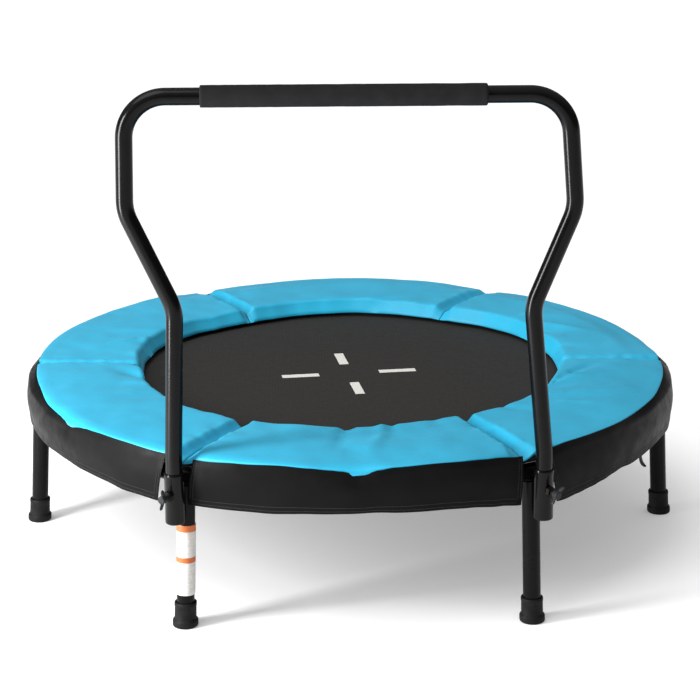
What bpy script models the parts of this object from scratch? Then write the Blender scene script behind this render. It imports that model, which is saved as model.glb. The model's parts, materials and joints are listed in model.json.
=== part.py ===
"""Mini trampoline for a small child, with a bent handle bar to hold on to.

Lengths are in metres and +Z is up. The origin is on the floor under the middle of the mat. The handle
bar stands at the front, towards -Y. Run it with blender --background --python part.py.
"""

import math

import bmesh
import bpy
from mathutils import Vector

# Frame ring and legs
FRAME_DIAMETER = 0.914
RAIL_HEIGHT = 0.2065
RAIL_DIAMETER = 0.022
RAIL_WALL = 0.0015
RAIL_SPIGOT_LENGTH = 0.030
LEG_COUNT = 6
LEG_DIAMETER = 0.0235
LEG_WALL = 0.0015
LEG_SPLAY = math.radians(3.0)
LEG_TOP_GAP = 0.001
LEG_BOSS_LENGTH = 0.024

# Rubber feet
FOOT_HEIGHT = 0.034
FOOT_WALL = 0.0024
FOOT_FLANGE_WIDTH = 0.0025
FOOT_FLANGE_HEIGHT = 0.0105
FOOT_SOLE = 0.005
FOOT_CHAMFER = 0.0015

# Sleeve wrapped round one front leg
SLEEVE_ABOVE_FOOT = 0.0108
SLEEVE_BELOW_SOCKET = 0.0092
SLEEVE_THICKNESS = 0.0007

# Jumping mat, its links and springs
SPRING_SPAN = 0.100
MAT_THICKNESS = 0.002
MAT_BELOW_PAD = 0.002
BINDING_WIDTH = 0.014
BINDING_THICKNESS = 0.001
LINK_LENGTH = 0.0135
LINK_WIDTH = 0.026
LINK_WIRE = 0.0025
LINK_ROOT = 0.0008
SPRINGS_PER_LEG = 3
SPRING_DIAMETER = 0.011
SPRING_WIRE = 0.0024
SPRING_HOOK = 0.011

# Padded cover and its skirt
PAD_THICKNESS = 0.024
PAD_OVER_MAT = 0.028
PAD_OVERHANG = 0.0015
PAD_EDGE = 0.008
PAD_SEAM = 0.001
SKIRT_HEIGHT = 0.0685
SKIRT_DROP = 0.0055
SKIRT_THICKNESS = 0.0012
SKIRT_SLIT = 0.004
SKIRT_HANDLE_SLIT = 0.042
SKIRT_BAND = 0.006
STRAP_WIDTH = 0.009
STRAP_LENGTH = 0.020
STRAP_THICKNESS = 0.0012
STRAP_ANGLE = math.radians(329.0)

# Handle bar, in the leaning plane that holds its two posts
HANDLE_DIAMETER = 0.022
HANDLE_WALL = 0.0015
HANDLE_LOWER_BEND_HEIGHT = 0.434
HANDLE_UPPER_BEND_HEIGHT = 0.560
HANDLE_BAR_HEIGHT = 0.7035
HANDLE_POST_TOE_IN = 0.0113
HANDLE_FLARE = 0.0554
HANDLE_TOP_TOE_IN = 0.0065
HANDLE_SET_BEND_RADIUS = 0.150
HANDLE_BEND_RADIUS = 0.062
HANDLE_CORNER_RADIUS = 0.052
HANDLE_SIDE_LEAN = math.radians(1.8)
GRIP_LENGTH = 0.356
GRIP_DIAMETER = 0.028
GRIP_OFFSET = -0.0035

# Sockets that hold the posts, and their clamps
SOCKET_WALL = 0.0012
SOCKET_BELOW_RAIL = 0.0565
SOCKET_LENGTH = 0.068
SOCKET_FLOOR = 0.003
BRACKET_GAP = 0.0039
BRACKET_THICKNESS = 0.003
BRACKET_HEIGHT = 0.034
CLAMP_BELOW_TOP = 0.027
SCREW_DIAMETER = 0.008
NUT_ACROSS_FLATS = 0.013
NUT_THICKNESS = 0.0065
SCREW_STAND_OFF = 0.0045
KNOB_LENGTH = 0.028
KNOB_WAIST = 0.011
KNOB_THICKNESS = 0.0085
KNOB_TURN = {"left": math.radians(0.0), "right": math.radians(-42.0)}

# Clearances between neighbouring pieces
CLEARANCE = 0.0003
SEAT_GAP = 0.0004
PAD_CLEARANCE = 0.0005
SHELL_CLEARANCE = 0.0006
POST_CLEARANCE = 0.00055
LEG_CLEARANCE = 0.00005

# How finely round shapes are divided
TUBE_SIDES = 12
RAIL_SEGMENTS = 8
PAD_SEGMENTS = 8
MAT_SEGMENTS = 36
BEND_STEP = math.radians(14.0)

# Sizes that follow from those above
RING_RADIUS = (FRAME_DIAMETER - RAIL_DIAMETER) / 2
RAIL_RADIUS = RAIL_DIAMETER / 2
LEG_RADIUS = LEG_DIAMETER / 2
LEG_ANGLE = 2 * math.pi / LEG_COUNT
PAD_BOTTOM = RAIL_HEIGHT + RAIL_RADIUS + PAD_CLEARANCE
PAD_TOP = PAD_BOTTOM + PAD_THICKNESS
SKIRT_TOP = PAD_TOP - SKIRT_DROP
SKIRT_BOTTOM = SKIRT_TOP - SKIRT_HEIGHT
LEG_OUTSIDE = RING_RADIUS + (RAIL_HEIGHT - SKIRT_BOTTOM) * math.tan(LEG_SPLAY) + LEG_RADIUS
PAD_OUTER = max(FRAME_DIAMETER / 2 + PAD_OVERHANG, LEG_OUTSIDE + LEG_CLEARANCE - SHELL_CLEARANCE)
MAT_TOP = PAD_BOTTOM - MAT_BELOW_PAD
MAT_RADIUS = RING_RADIUS - RAIL_RADIUS - SPRING_SPAN
PAD_INNER = MAT_RADIUS - PAD_OVER_MAT
POST_RADIUS = HANDLE_DIAMETER / 2
SOCKET_RADIUS = POST_RADIUS + POST_CLEARANCE + SOCKET_WALL
SOCKET_BOTTOM = RAIL_HEIGHT - SOCKET_BELOW_RAIL
SLEEVE_BOTTOM = FOOT_HEIGHT + SLEEVE_ABOVE_FOOT
SLEEVE_TOP = SOCKET_BOTTOM - SLEEVE_BELOW_SOCKET
HANDLE_LEGS = {"left": 4, "right": 5}
HANDLE_TILT = math.atan(math.tan(LEG_SPLAY) * math.cos(LEG_ANGLE / 2))


def clear_scene():
    for obj in list(bpy.data.objects):
        bpy.data.objects.remove(obj, do_unlink=True)


def material(name, colour, roughness, metallic=0.0):
    made = bpy.data.materials.new(name)
    made.use_nodes = True
    shader = made.node_tree.nodes["Principled BSDF"]
    shader.inputs["Base Color"].default_value = (*colour, 1.0)
    shader.inputs["Roughness"].default_value = roughness
    shader.inputs["Metallic"].default_value = metallic
    return made


def radial(angle):
    """The level unit vector that points outwards at this angle."""
    return Vector((math.cos(angle), math.sin(angle), 0.0))


def leg_angle(index):
    return index * LEG_ANGLE


def leg_axis(index, height):
    """The point on a leg's centre line at this height. The legs splay outwards towards the floor."""
    out = RING_RADIUS + (RAIL_HEIGHT - height) * math.tan(LEG_SPLAY)
    return radial(leg_angle(index)) * out + Vector((0.0, 0.0, height))


def ring(centre, first, second, radius, sides=TUBE_SIDES):
    """Points round a circle in the plane of two unit vectors, with a flat side towards each of them."""
    points = []
    for side in range(sides):
        turn = 2 * math.pi * (side + 0.5) / sides
        points.append(centre + first * (radius * math.cos(turn)) + second * (radius * math.sin(turn)))
    return points


def finished(name, finish, shape, smooth=math.radians(40.0)):
    """One shaded object from a closed shape."""
    bmesh.ops.recalc_face_normals(shape, faces=shape.faces)
    mesh = bpy.data.meshes.new(name)
    shape.to_mesh(mesh)
    shape.free()
    mesh.materials.append(finish)
    mesh.shade_smooth()
    mesh.set_sharp_from_angle(angle=smooth)
    made = bpy.data.objects.new(name, mesh)
    bpy.context.scene.collection.objects.link(made)
    return made


def lofted(name, finish, bodies, closed=False, smooth=math.radians(40.0)):
    """One object from bodies, each a list of rings of points. Open bodies get a cap on each end."""
    shape = bmesh.new()
    for rings in bodies:
        loops = [[shape.verts.new(point) for point in points] for points in rings]
        sides = len(loops[0])
        pairs = list(zip(loops, loops[1:]))
        if closed:
            pairs.append((loops[-1], loops[0]))
        else:
            shape.faces.new(loops[0])
            shape.faces.new(loops[-1])
        for low, high in pairs:
            for side in range(sides):
                after = (side + 1) % sides
                shape.faces.new((low[side], low[after], high[after], high[side]))
    return finished(name, finish, shape, smooth)


def helper(obj):
    """Keeps an object that only cuts or joins another out of the model."""
    obj.hide_render = True
    obj.display_type = "WIRE"
    return obj


def joined(obj, other, operation="UNION"):
    """Joins a helper to an object, or cuts it out of the object."""
    change = obj.modifiers.new(other.name, "BOOLEAN")
    change.operation = operation
    change.object = other


def set_origin(obj, point):
    """Moves the object's origin to a point, such as one on its joint's axis. Its shape stays in place."""
    for vertex in obj.data.vertices:
        vertex.co -= point
    obj.location = point


def frame_rail(index, finish):
    """A curved hollow rail over one leg. A spigot on one end enters the open end of the next rail."""
    bore = RAIL_RADIUS - RAIL_WALL
    spigot = bore - CLEARANCE
    spigot_bore = spigot - RAIL_WALL
    start = leg_angle(index) - LEG_ANGLE / 2
    end = leg_angle(index) + LEG_ANGLE / 2 - CLEARANCE / RING_RADIUS
    tip = end + RAIL_SPIGOT_LENGTH / RING_RADIUS
    shoulder = end - RAIL_WALL / RING_RADIUS

    def section(angle, radius):
        centre = radial(angle) * RING_RADIUS + Vector((0.0, 0.0, RAIL_HEIGHT))
        return ring(centre, radial(angle), Vector((0.0, 0.0, 1.0)), radius)

    seated = start + RAIL_SPIGOT_LENGTH / RING_RADIUS
    steps = [start]
    steps += [seated + (end - seated) * step / RAIL_SEGMENTS for step in range(RAIL_SEGMENTS + 1)]
    outside = [section(angle, RAIL_RADIUS) for angle in steps]
    spigot_rings = [section(end, spigot), section(tip, spigot), section(tip, spigot_bore)]
    inside = [section(shoulder, spigot_bore)]
    bore_steps = [*steps[:-1], shoulder - RAIL_WALL / RING_RADIUS]
    inside += [section(angle, bore) for angle in reversed(bore_steps)]
    made = lofted(f"frame_rail_{index + 1}", finish, [outside + spigot_rings + inside], closed=True)
    joined(made, leg_boss(index, finish))
    return made


def upright(index, profile):
    """Level rings along a leg's centre line, from (height, radius) pairs."""
    side = radial(leg_angle(index))
    across = Vector((-side.y, side.x, 0.0))
    return [ring(leg_axis(index, height), side, across, radius) for height, radius in profile]


def leg_boss(index, finish):
    """The boss welded into the rail's underside, which the leg tube is pushed on to."""
    top = RAIL_HEIGHT - RAIL_RADIUS / 2
    bottom = RAIL_HEIGHT - RAIL_RADIUS - LEG_BOSS_LENGTH
    radius = LEG_RADIUS - LEG_WALL - CLEARANCE
    chamfer = LEG_WALL
    profile = [(top, radius), (bottom + chamfer, radius), (bottom, radius - chamfer)]
    return helper(lofted(f"leg_boss_{index + 1}", finish, [upright(index, profile)]))


def leg_tube(index, finish):
    """An open tube from just under the rail down into its foot."""
    top = RAIL_HEIGHT - RAIL_RADIUS - LEG_TOP_GAP
    bottom = FOOT_SOLE + CLEARANCE
    bore = LEG_RADIUS - LEG_WALL
    profile = [(bottom, LEG_RADIUS), (top, LEG_RADIUS), (top, bore), (bottom, bore)]
    return lofted(f"leg_tube_{index + 1}", finish, [upright(index, profile)], closed=True)


def foot(index, finish):
    """A stepped rubber cup with a flange on the floor."""
    bore = LEG_RADIUS + CLEARANCE
    cup = bore + FOOT_WALL
    flange = cup + FOOT_FLANGE_WIDTH
    profile = [
        (0.0, flange - FOOT_CHAMFER),
        (FOOT_CHAMFER, flange),
        (FOOT_FLANGE_HEIGHT - FOOT_CHAMFER, flange),
        (FOOT_FLANGE_HEIGHT, cup),
        (FOOT_HEIGHT, cup),
        (FOOT_HEIGHT, bore),
        (FOOT_SOLE, bore),
    ]
    return lofted(f"foot_{index + 1}", finish, [upright(index, profile)])


def leg_sleeve(index, finish):
    inner = LEG_RADIUS + CLEARANCE
    outer = inner + SLEEVE_THICKNESS
    profile = [(SLEEVE_BOTTOM, outer), (SLEEVE_TOP, outer), (SLEEVE_TOP, inner), (SLEEVE_BOTTOM, inner)]
    return lofted("leg_sleeve", finish, [upright(index, profile)], closed=True)


def turned_ring(name, finish, profile, segments):
    """A closed ring about the vertical axis, from the corners of its section as (radius, height) pairs."""
    sections = []
    for step in range(segments):
        side = radial(2 * math.pi * step / segments)
        sections.append([side * radius + Vector((0.0, 0.0, height)) for radius, height in profile])
    return lofted(name, finish, [sections], closed=True)


def jump_mat(finish):
    rings = []
    directions = [radial(2 * math.pi * step / MAT_SEGMENTS) for step in range(MAT_SEGMENTS)]
    for height in (MAT_TOP - MAT_THICKNESS, MAT_TOP):
        level = Vector((0.0, 0.0, height))
        rings.append([direction * MAT_RADIUS + level for direction in directions])
    return lofted("jump_mat", finish, [rings])


def spring_angles():
    count = LEG_COUNT * SPRINGS_PER_LEG
    return [(number + 0.5) * 2 * math.pi / count for number in range(count)]


def mat_binding(finish):
    """The webbing folded round the mat's rim, under the pads, with a wire link in it for each spring."""
    upper = MAT_TOP + CLEARANCE
    lower = MAT_TOP - MAT_THICKNESS - CLEARANCE
    rim = MAT_RADIUS + CLEARANCE
    outer = rim + BINDING_THICKNESS
    inner = outer - BINDING_WIDTH
    profile = [
        (inner, upper + BINDING_THICKNESS),
        (outer, upper + BINDING_THICKNESS),
        (outer, lower - BINDING_THICKNESS),
        (inner, lower - BINDING_THICKNESS),
        (inner, lower),
        (rim, lower),
        (rim, upper),
        (inner, upper),
    ]
    made = turned_ring("mat_binding", finish, profile, MAT_SEGMENTS)
    joined(made, mat_links(finish, outer - LINK_ROOT))
    return made


def mat_links(finish, base):
    """A triangular wire link for each spring, with its base in the mat's rim and its point outwards."""
    bodies = []
    height = MAT_TOP - MAT_THICKNESS / 2
    corners = [Vector((0.0, -LINK_WIDTH / 2)), Vector((0.0, LINK_WIDTH / 2)), Vector((LINK_LENGTH, 0.0))]
    middle = Vector((LINK_LENGTH / 3, 0.0))
    for angle in spring_angles():
        out = radial(angle)
        across = radial(angle + math.pi / 2)
        sections = []
        for outer in corners:
            inner = middle + (outer - middle) * (1 - 3 * LINK_WIRE / LINK_LENGTH)
            section = []
            for spot, level in ((outer, -1), (outer, 1), (inner, 1), (inner, -1)):
                point = out * (base + spot.x) + across * spot.y
                section.append(point + Vector((0.0, 0.0, height + level * LINK_WIRE / 2)))
            sections.append(section)
        bodies.append(sections)
    return helper(lofted("mat_links", finish, bodies, closed=True))


def spring(number, angle, finish):
    """The outer shape of a coil spring with its end hooks, between its link and the rail."""
    start = MAT_RADIUS + CLEARANCE + BINDING_THICKNESS - LINK_ROOT + LINK_LENGTH + CLEARANCE
    end = RING_RADIUS - RAIL_RADIUS - CLEARANCE
    coil = SPRING_DIAMETER / 2
    hook = SPRING_WIRE / 2
    height = PAD_BOTTOM - 2 * PAD_CLEARANCE - coil
    out = radial(angle)
    across = radial(angle + math.pi / 2)
    profile = [
        (start, hook),
        (start + SPRING_HOOK - hook, hook),
        (start + SPRING_HOOK, coil),
        (end - SPRING_HOOK, coil),
        (end - SPRING_HOOK + hook, hook),
        (end, hook),
    ]
    rings = []
    for along, radius in profile:
        centre = out * along + Vector((0.0, 0.0, height))
        rings.append(ring(centre, across, Vector((0.0, 0.0, 1.0)), radius, TUBE_SIDES // 2))
    return lofted(f"spring_{number:02d}", finish, [rings])


def strip_angles(index, start_gap, end_gap):
    """The angles that divide a stretch between two legs, which keeps a gap to each leg's own angle."""
    steps = [leg_angle(index) + LEG_ANGLE * step / PAD_SEGMENTS for step in range(PAD_SEGMENTS + 1)]
    return [steps[0] + start_gap, *steps[1:-1], steps[-1] - end_gap]


def pad(index, finish):
    """One padded segment of the cover, between two legs' seams."""
    profile = [
        (PAD_INNER + PAD_EDGE, PAD_BOTTOM),
        (PAD_INNER, PAD_BOTTOM + PAD_EDGE),
        (PAD_INNER, PAD_TOP - PAD_EDGE / 4),
        (PAD_INNER + PAD_EDGE / 4, PAD_TOP),
        (PAD_OUTER - PAD_EDGE, PAD_TOP),
        (PAD_OUTER, PAD_TOP - PAD_EDGE),
        (PAD_OUTER, PAD_BOTTOM),
    ]
    seam = PAD_SEAM / 2 / PAD_INNER
    sections = []
    for angle in strip_angles(index, seam, seam):
        sections.append([radial(angle) * radius + Vector((0.0, 0.0, height)) for radius, height in profile])
    return lofted(f"pad_{index + 1}", finish, [sections])


def skirt(finish):
    """The skirt that hangs from the pads' outer edge, slit at each leg up to a narrow band."""
    inner = PAD_OUTER + SHELL_CLEARANCE
    outer = inner + SKIRT_THICKNESS
    heights = (SKIRT_BOTTOM, SKIRT_TOP - SKIRT_BAND, SKIRT_TOP)
    slits = [SKIRT_HANDLE_SLIT if leg in HANDLE_LEGS.values() else SKIRT_SLIT for leg in range(LEG_COUNT)]
    shape = bmesh.new()
    columns = []
    for index in range(LEG_COUNT):
        after = (index + 1) % LEG_COUNT
        for angle in strip_angles(index, slits[index] / 2 / outer, slits[after] / 2 / outer):
            side = radial(angle)
            column = [[shape.verts.new(side * radius + Vector((0.0, 0.0, height))) for height in heights]
                      for radius in (inner, outer)]
            columns.append(column)
    for number, column in enumerate(columns):
        column_after = columns[(number + 1) % len(columns)]
        (low, middle, high), (low_out, middle_out, high_out) = column
        (low_b, middle_b, high_b), (low_out_b, middle_out_b, high_out_b) = column_after
        shape.faces.new((middle, high, high_b, middle_b))
        shape.faces.new((middle_out, high_out, high_out_b, middle_out_b))
        shape.faces.new((high, high_out, high_out_b, high_b))
        if (number + 1) % (PAD_SEGMENTS + 1):
            shape.faces.new((low, middle, middle_b, low_b))
            shape.faces.new((low_out, middle_out, middle_out_b, low_out_b))
            shape.faces.new((low, low_out, low_out_b, low_b))
            continue
        shape.faces.new((middle, middle_out, middle_out_b, middle_b))
        shape.faces.new((low, low_out, middle_out, middle))
        shape.faces.new((low_b, low_out_b, middle_out_b, middle_b))
    return finished("skirt", finish, shape)


def pad_strap(finish):
    """The loose end of one of the straps that tie the cover down, hanging under the skirt's hem."""
    out = radial(STRAP_ANGLE)
    across = radial(STRAP_ANGLE + math.pi / 2)
    top = SKIRT_BOTTOM + STRAP_LENGTH / 4
    near = PAD_OUTER * math.cos(LEG_ANGLE / PAD_SEGMENTS / 2) - SHELL_CLEARANCE
    rings = []
    for height in (top, top - STRAP_LENGTH):
        corners = []
        for back, aside in ((0.0, -1), (0.0, 1), (STRAP_THICKNESS, 1), (STRAP_THICKNESS, -1)):
            point = out * (near - back) + across * (aside * STRAP_WIDTH / 2)
            corners.append(point + Vector((0.0, 0.0, height)))
        rings.append(corners)
    return lofted("pad_strap", finish, [rings])


def socket_centre(side, height):
    """The point on a handle socket's centre line at this height. Both sockets lie in one leaning plane."""
    index = HANDLE_LEGS[side]
    middle = SOCKET_BOTTOM + SOCKET_LENGTH / 2
    offset = LEG_RADIUS + BRACKET_GAP + SOCKET_RADIUS
    base = leg_axis(index, middle) + radial(leg_angle(index)) * offset
    return base + Vector((0.0, math.tan(HANDLE_TILT), 1.0)) * (height - middle)


def handle_socket(side, finish):
    """A cup for the handle's post, welded beside a front leg, with a hole for its clamp screw."""
    up = Vector((0.0, math.sin(HANDLE_TILT), math.cos(HANDLE_TILT)))
    level = Vector((0.0, math.cos(HANDLE_TILT), -math.sin(HANDLE_TILT)))
    bottom = socket_centre(side, SOCKET_BOTTOM)
    bore = SOCKET_RADIUS - SOCKET_WALL
    chamfer = SOCKET_WALL
    profile = [
        (0.0, SOCKET_RADIUS - chamfer),
        (chamfer, SOCKET_RADIUS),
        (SOCKET_LENGTH, SOCKET_RADIUS),
        (SOCKET_LENGTH, bore),
        (SOCKET_FLOOR, bore),
    ]
    rings = [ring(bottom + up * along, level, Vector((1.0, 0.0, 0.0)), radius) for along, radius in profile]
    made = lofted(f"handle_socket_{side}", finish, [rings])
    ends = (POST_RADIUS / 2, 2 * SOCKET_RADIUS)
    drill = clamp_cylinder(f"clamp_drill_{side}", finish, side, *ends, CLEARANCE)
    joined(made, helper(drill), "DIFFERENCE")
    return made


def clamp_frame(side):
    """The clamp screw's point on the post's centre line, and its outward, level and upward directions."""
    out = radial(leg_angle(HANDLE_LEGS[side]))
    across = Vector((-out.y, out.x, 0.0))
    centre = socket_centre(side, SOCKET_BOTTOM + SOCKET_LENGTH - CLAMP_BELOW_TOP)
    return centre, out, across, Vector((0.0, 0.0, 1.0))


def clamp_cylinder(name, finish, side, start, end, extra=0.0):
    """A cylinder of the screw's diameter along its axis, from one distance to another."""
    centre, out, across, up = clamp_frame(side)
    radius = SCREW_DIAMETER / 2 + extra
    rings = [ring(centre + out * along, across, up, radius) for along in (start, end)]
    return lofted(name, finish, [rings])


def socket_bracket(side, finish):
    """The plate welded between a front leg and its handle socket."""
    index = HANDLE_LEGS[side]
    out = radial(leg_angle(index))
    across = Vector((-out.y, out.x, 0.0))
    middle = SOCKET_BOTTOM + SOCKET_LENGTH / 2
    rings = []
    for height in (middle - BRACKET_HEIGHT / 2, middle + BRACKET_HEIGHT / 2):
        inner = leg_axis(index, height) + out * (LEG_RADIUS + SEAT_GAP)
        outer = inner + out * ((socket_centre(side, height) - inner).dot(out) - SOCKET_RADIUS - SEAT_GAP)
        half = across * (BRACKET_THICKNESS / 2)
        rings.append([inner - half, outer - half, outer + half, inner + half])
    return lofted(f"socket_bracket_{side}", finish, [rings])


def clamp_nut(side, finish):
    """The hexagonal nut welded to the socket, which the clamp screw turns in."""
    centre, out, across, up = clamp_frame(side)
    start = SOCKET_RADIUS + SEAT_GAP
    end = start + NUT_THICKNESS
    flat = NUT_ACROSS_FLATS / 2
    corner = flat / math.cos(math.pi / 6)
    bore = SCREW_DIAMETER / 2 + CLEARANCE
    profile = [(start, corner, flat), (end, corner, flat), (end, bore, bore), (start, bore, bore)]
    rings = []
    for along, even, odd in profile:
        corners = ring(centre + out * along, across, up, even)
        between = ring(centre + out * along, across, up, odd)
        rings.append([pair[number % 2] for number, pair in enumerate(zip(corners, between))])
    return lofted(f"clamp_nut_{side}", finish, [rings], closed=True, smooth=math.radians(20.0))


def clamp_screw(side, finish):
    start = POST_RADIUS + SEAT_GAP
    end = SOCKET_RADIUS + SEAT_GAP + NUT_THICKNESS + SCREW_STAND_OFF
    made = clamp_cylinder(f"clamp_screw_{side}", finish, side, start, end)
    set_origin(made, clamp_frame(side)[0])
    return made


def wing_knob(side, finish):
    """The two-winged knob on the end of the clamp screw."""
    centre, out, across, up = clamp_frame(side)
    turn = KNOB_TURN[side]
    first = across * math.cos(turn) + up * math.sin(turn)
    second = up * math.cos(turn) - across * math.sin(turn)
    start = SOCKET_RADIUS + SEAT_GAP + NUT_THICKNESS + SCREW_STAND_OFF + CLEARANCE
    edge = KNOB_THICKNESS / 5
    points = 2 * TUBE_SIDES
    rings = []
    for along, inset in ((0.0, edge), (edge, 0.0), (KNOB_THICKNESS - edge, 0.0), (KNOB_THICKNESS, edge)):
        outline = []
        for number in range(points):
            bearing = 2 * math.pi * number / points
            wing = (KNOB_LENGTH - KNOB_WAIST) / 4
            reach = KNOB_WAIST / 2 + wing - wing * math.cos(2 * bearing) - inset
            spot = first * (reach * math.cos(bearing)) + second * (reach * math.sin(bearing))
            outline.append(centre + out * (start + along) + spot)
        rings.append(outline)
    made = lofted(f"wing_knob_{side}", finish, [rings])
    set_origin(made, centre)
    return made


def rounded_path(corners, radii):
    """(point, direction) pairs along straight runs joined by arcs, all in one plane."""
    path = []
    for place, corner in enumerate(corners):
        if place in (0, len(corners) - 1):
            other = corners[1] if place == 0 else corners[-2]
            direction = (other - corner).normalized() if place == 0 else (corner - other).normalized()
            path.append((corner, direction))
            continue
        before = (corner - corners[place - 1]).normalized()
        after = (corners[place + 1] - corner).normalized()
        turn = before.angle_signed(after)
        radius = radii[place - 1]
        start = corner - before * (radius * math.tan(abs(turn) / 2))
        side = Vector((before.y, -before.x)) * math.copysign(1.0, turn)
        middle = start + side * radius
        steps = max(2, math.ceil(abs(turn) / BEND_STEP))
        for step in range(steps + 1):
            part = turn * step / steps
            arm = start - middle
            swung = Vector((arm.x * math.cos(part) + arm.y * math.sin(part),
                            arm.y * math.cos(part) - arm.x * math.sin(part)))
            heading = Vector((before.x * math.cos(part) + before.y * math.sin(part),
                              before.y * math.cos(part) - before.x * math.sin(part)))
            path.append((middle + swung, heading))
    return path


def handle_outline():
    """The handle's centre line, as corners across and up its leaning plane, and the bend at each corner."""
    foot_height = (SOCKET_BOTTOM + CLEARANCE) / math.cos(HANDLE_TILT) + SOCKET_FLOOR
    set_height = (SOCKET_BOTTOM + SOCKET_LENGTH) / math.cos(HANDLE_TILT) + HANDLE_DIAMETER
    half = socket_centre("right", SOCKET_BOTTOM).x
    waist = half - HANDLE_POST_TOE_IN
    wide = waist + HANDLE_FLARE
    top = wide - HANDLE_TOP_TOE_IN
    side = [(waist, HANDLE_LOWER_BEND_HEIGHT), (wide, HANDLE_UPPER_BEND_HEIGHT), (top, HANDLE_BAR_HEIGHT)]
    upper = [Vector((-across, height)) for across, height in side]
    upper += [Vector((across, height)) for across, height in reversed(side)]
    lean = math.tan(HANDLE_SIDE_LEAN)
    leaning = [Vector((spot.x - (spot.y - set_height) * lean, spot.y)) for spot in upper]
    lower = [Vector((-half, foot_height)), Vector((-half, set_height))]
    mirrored = [Vector((half, set_height)), Vector((half, foot_height))]
    bends = [HANDLE_SET_BEND_RADIUS, HANDLE_BEND_RADIUS, HANDLE_BEND_RADIUS, HANDLE_CORNER_RADIUS]
    return lower + leaning + mirrored, bends + bends[::-1]


def handle_point(spot):
    """A point of the handle's plane in space. The plane leans back by the legs' splay."""
    base = socket_centre("right", 0.0)
    return Vector((spot.x, base.y + spot.y * math.sin(HANDLE_TILT), spot.y * math.cos(HANDLE_TILT)))


def handle_rings(path, radius):
    facing = Vector((0.0, math.cos(HANDLE_TILT), -math.sin(HANDLE_TILT)))
    rings = []
    for spot, heading in path:
        along = Vector((heading.x, heading.y * math.sin(HANDLE_TILT), heading.y * math.cos(HANDLE_TILT)))
        rings.append(ring(handle_point(spot), facing, facing.cross(along), radius))
    return rings


def handle_tube(finish):
    corners, bends = handle_outline()
    path = rounded_path(corners, bends)
    outside = handle_rings(path, POST_RADIUS)
    inside = handle_rings(path[::-1], POST_RADIUS - HANDLE_WALL)
    made = lofted("handle_tube", finish, [outside + inside], closed=True)
    set_origin(made, handle_point(corners[0]))
    return made


def handle_grip(finish):
    """The foam sleeve round the middle of the handle's bar."""
    corners, _ = handle_outline()
    left, right = corners[4:6]
    heading = (right - left).normalized()
    middle = (left + right) / 2 + heading * GRIP_OFFSET
    ends = [middle - heading * (GRIP_LENGTH / 2), middle + heading * (GRIP_LENGTH / 2)]
    outside = handle_rings([(spot, heading) for spot in ends], GRIP_DIAMETER / 2)
    inside = handle_rings([(spot, heading) for spot in reversed(ends)], POST_RADIUS + CLEARANCE)
    return lofted("handle_grip", finish, [outside + inside], closed=True)


def build():
    clear_scene()
    steel = material("black_steel", (0.012, 0.012, 0.013), 0.28, 0.4)
    zinc = material("zinc_plate", (0.55, 0.55, 0.56), 0.35, 1.0)
    rubber = material("black_rubber", (0.02, 0.02, 0.021), 0.6)
    vinyl = material("blue_vinyl", (0.07, 0.50, 0.76), 0.45)
    black_vinyl = material("black_vinyl", (0.025, 0.025, 0.027), 0.4)
    woven = material("woven_mat", (0.035, 0.034, 0.033), 0.8)
    webbing = material("black_webbing", (0.02, 0.02, 0.02), 0.8)
    foam = material("grip_foam", (0.03, 0.03, 0.032), 0.9)
    plastic = material("knob_plastic", (0.04, 0.042, 0.045), 0.5)
    label = material("sleeve_film", (0.75, 0.73, 0.70), 0.5)
    for index in range(LEG_COUNT):
        frame_rail(index, steel)
        leg_tube(index, steel)
        foot(index, rubber)
        pad(index, vinyl)
    leg_sleeve(HANDLE_LEGS["left"], label)
    jump_mat(woven)
    mat_binding(webbing)
    for number, angle in enumerate(spring_angles()):
        spring(number + 1, angle, zinc)
    skirt(black_vinyl)
    pad_strap(webbing)
    for side in HANDLE_LEGS:
        handle_socket(side, steel)
        socket_bracket(side, steel)
        clamp_nut(side, steel)
        clamp_screw(side, zinc)
        wing_knob(side, plastic)
    handle_tube(steel)
    handle_grip(foam)


build()
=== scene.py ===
"""Looks of the mini trampoline: covers, skirt, tubes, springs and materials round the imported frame.

Lengths are in metres and +Z is up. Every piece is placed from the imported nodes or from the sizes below,
which are the ones that the solids were made with.
"""

import json
import math

import bmesh
import bpy
import numpy as np
from mathutils import Matrix, Vector, noise

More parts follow.
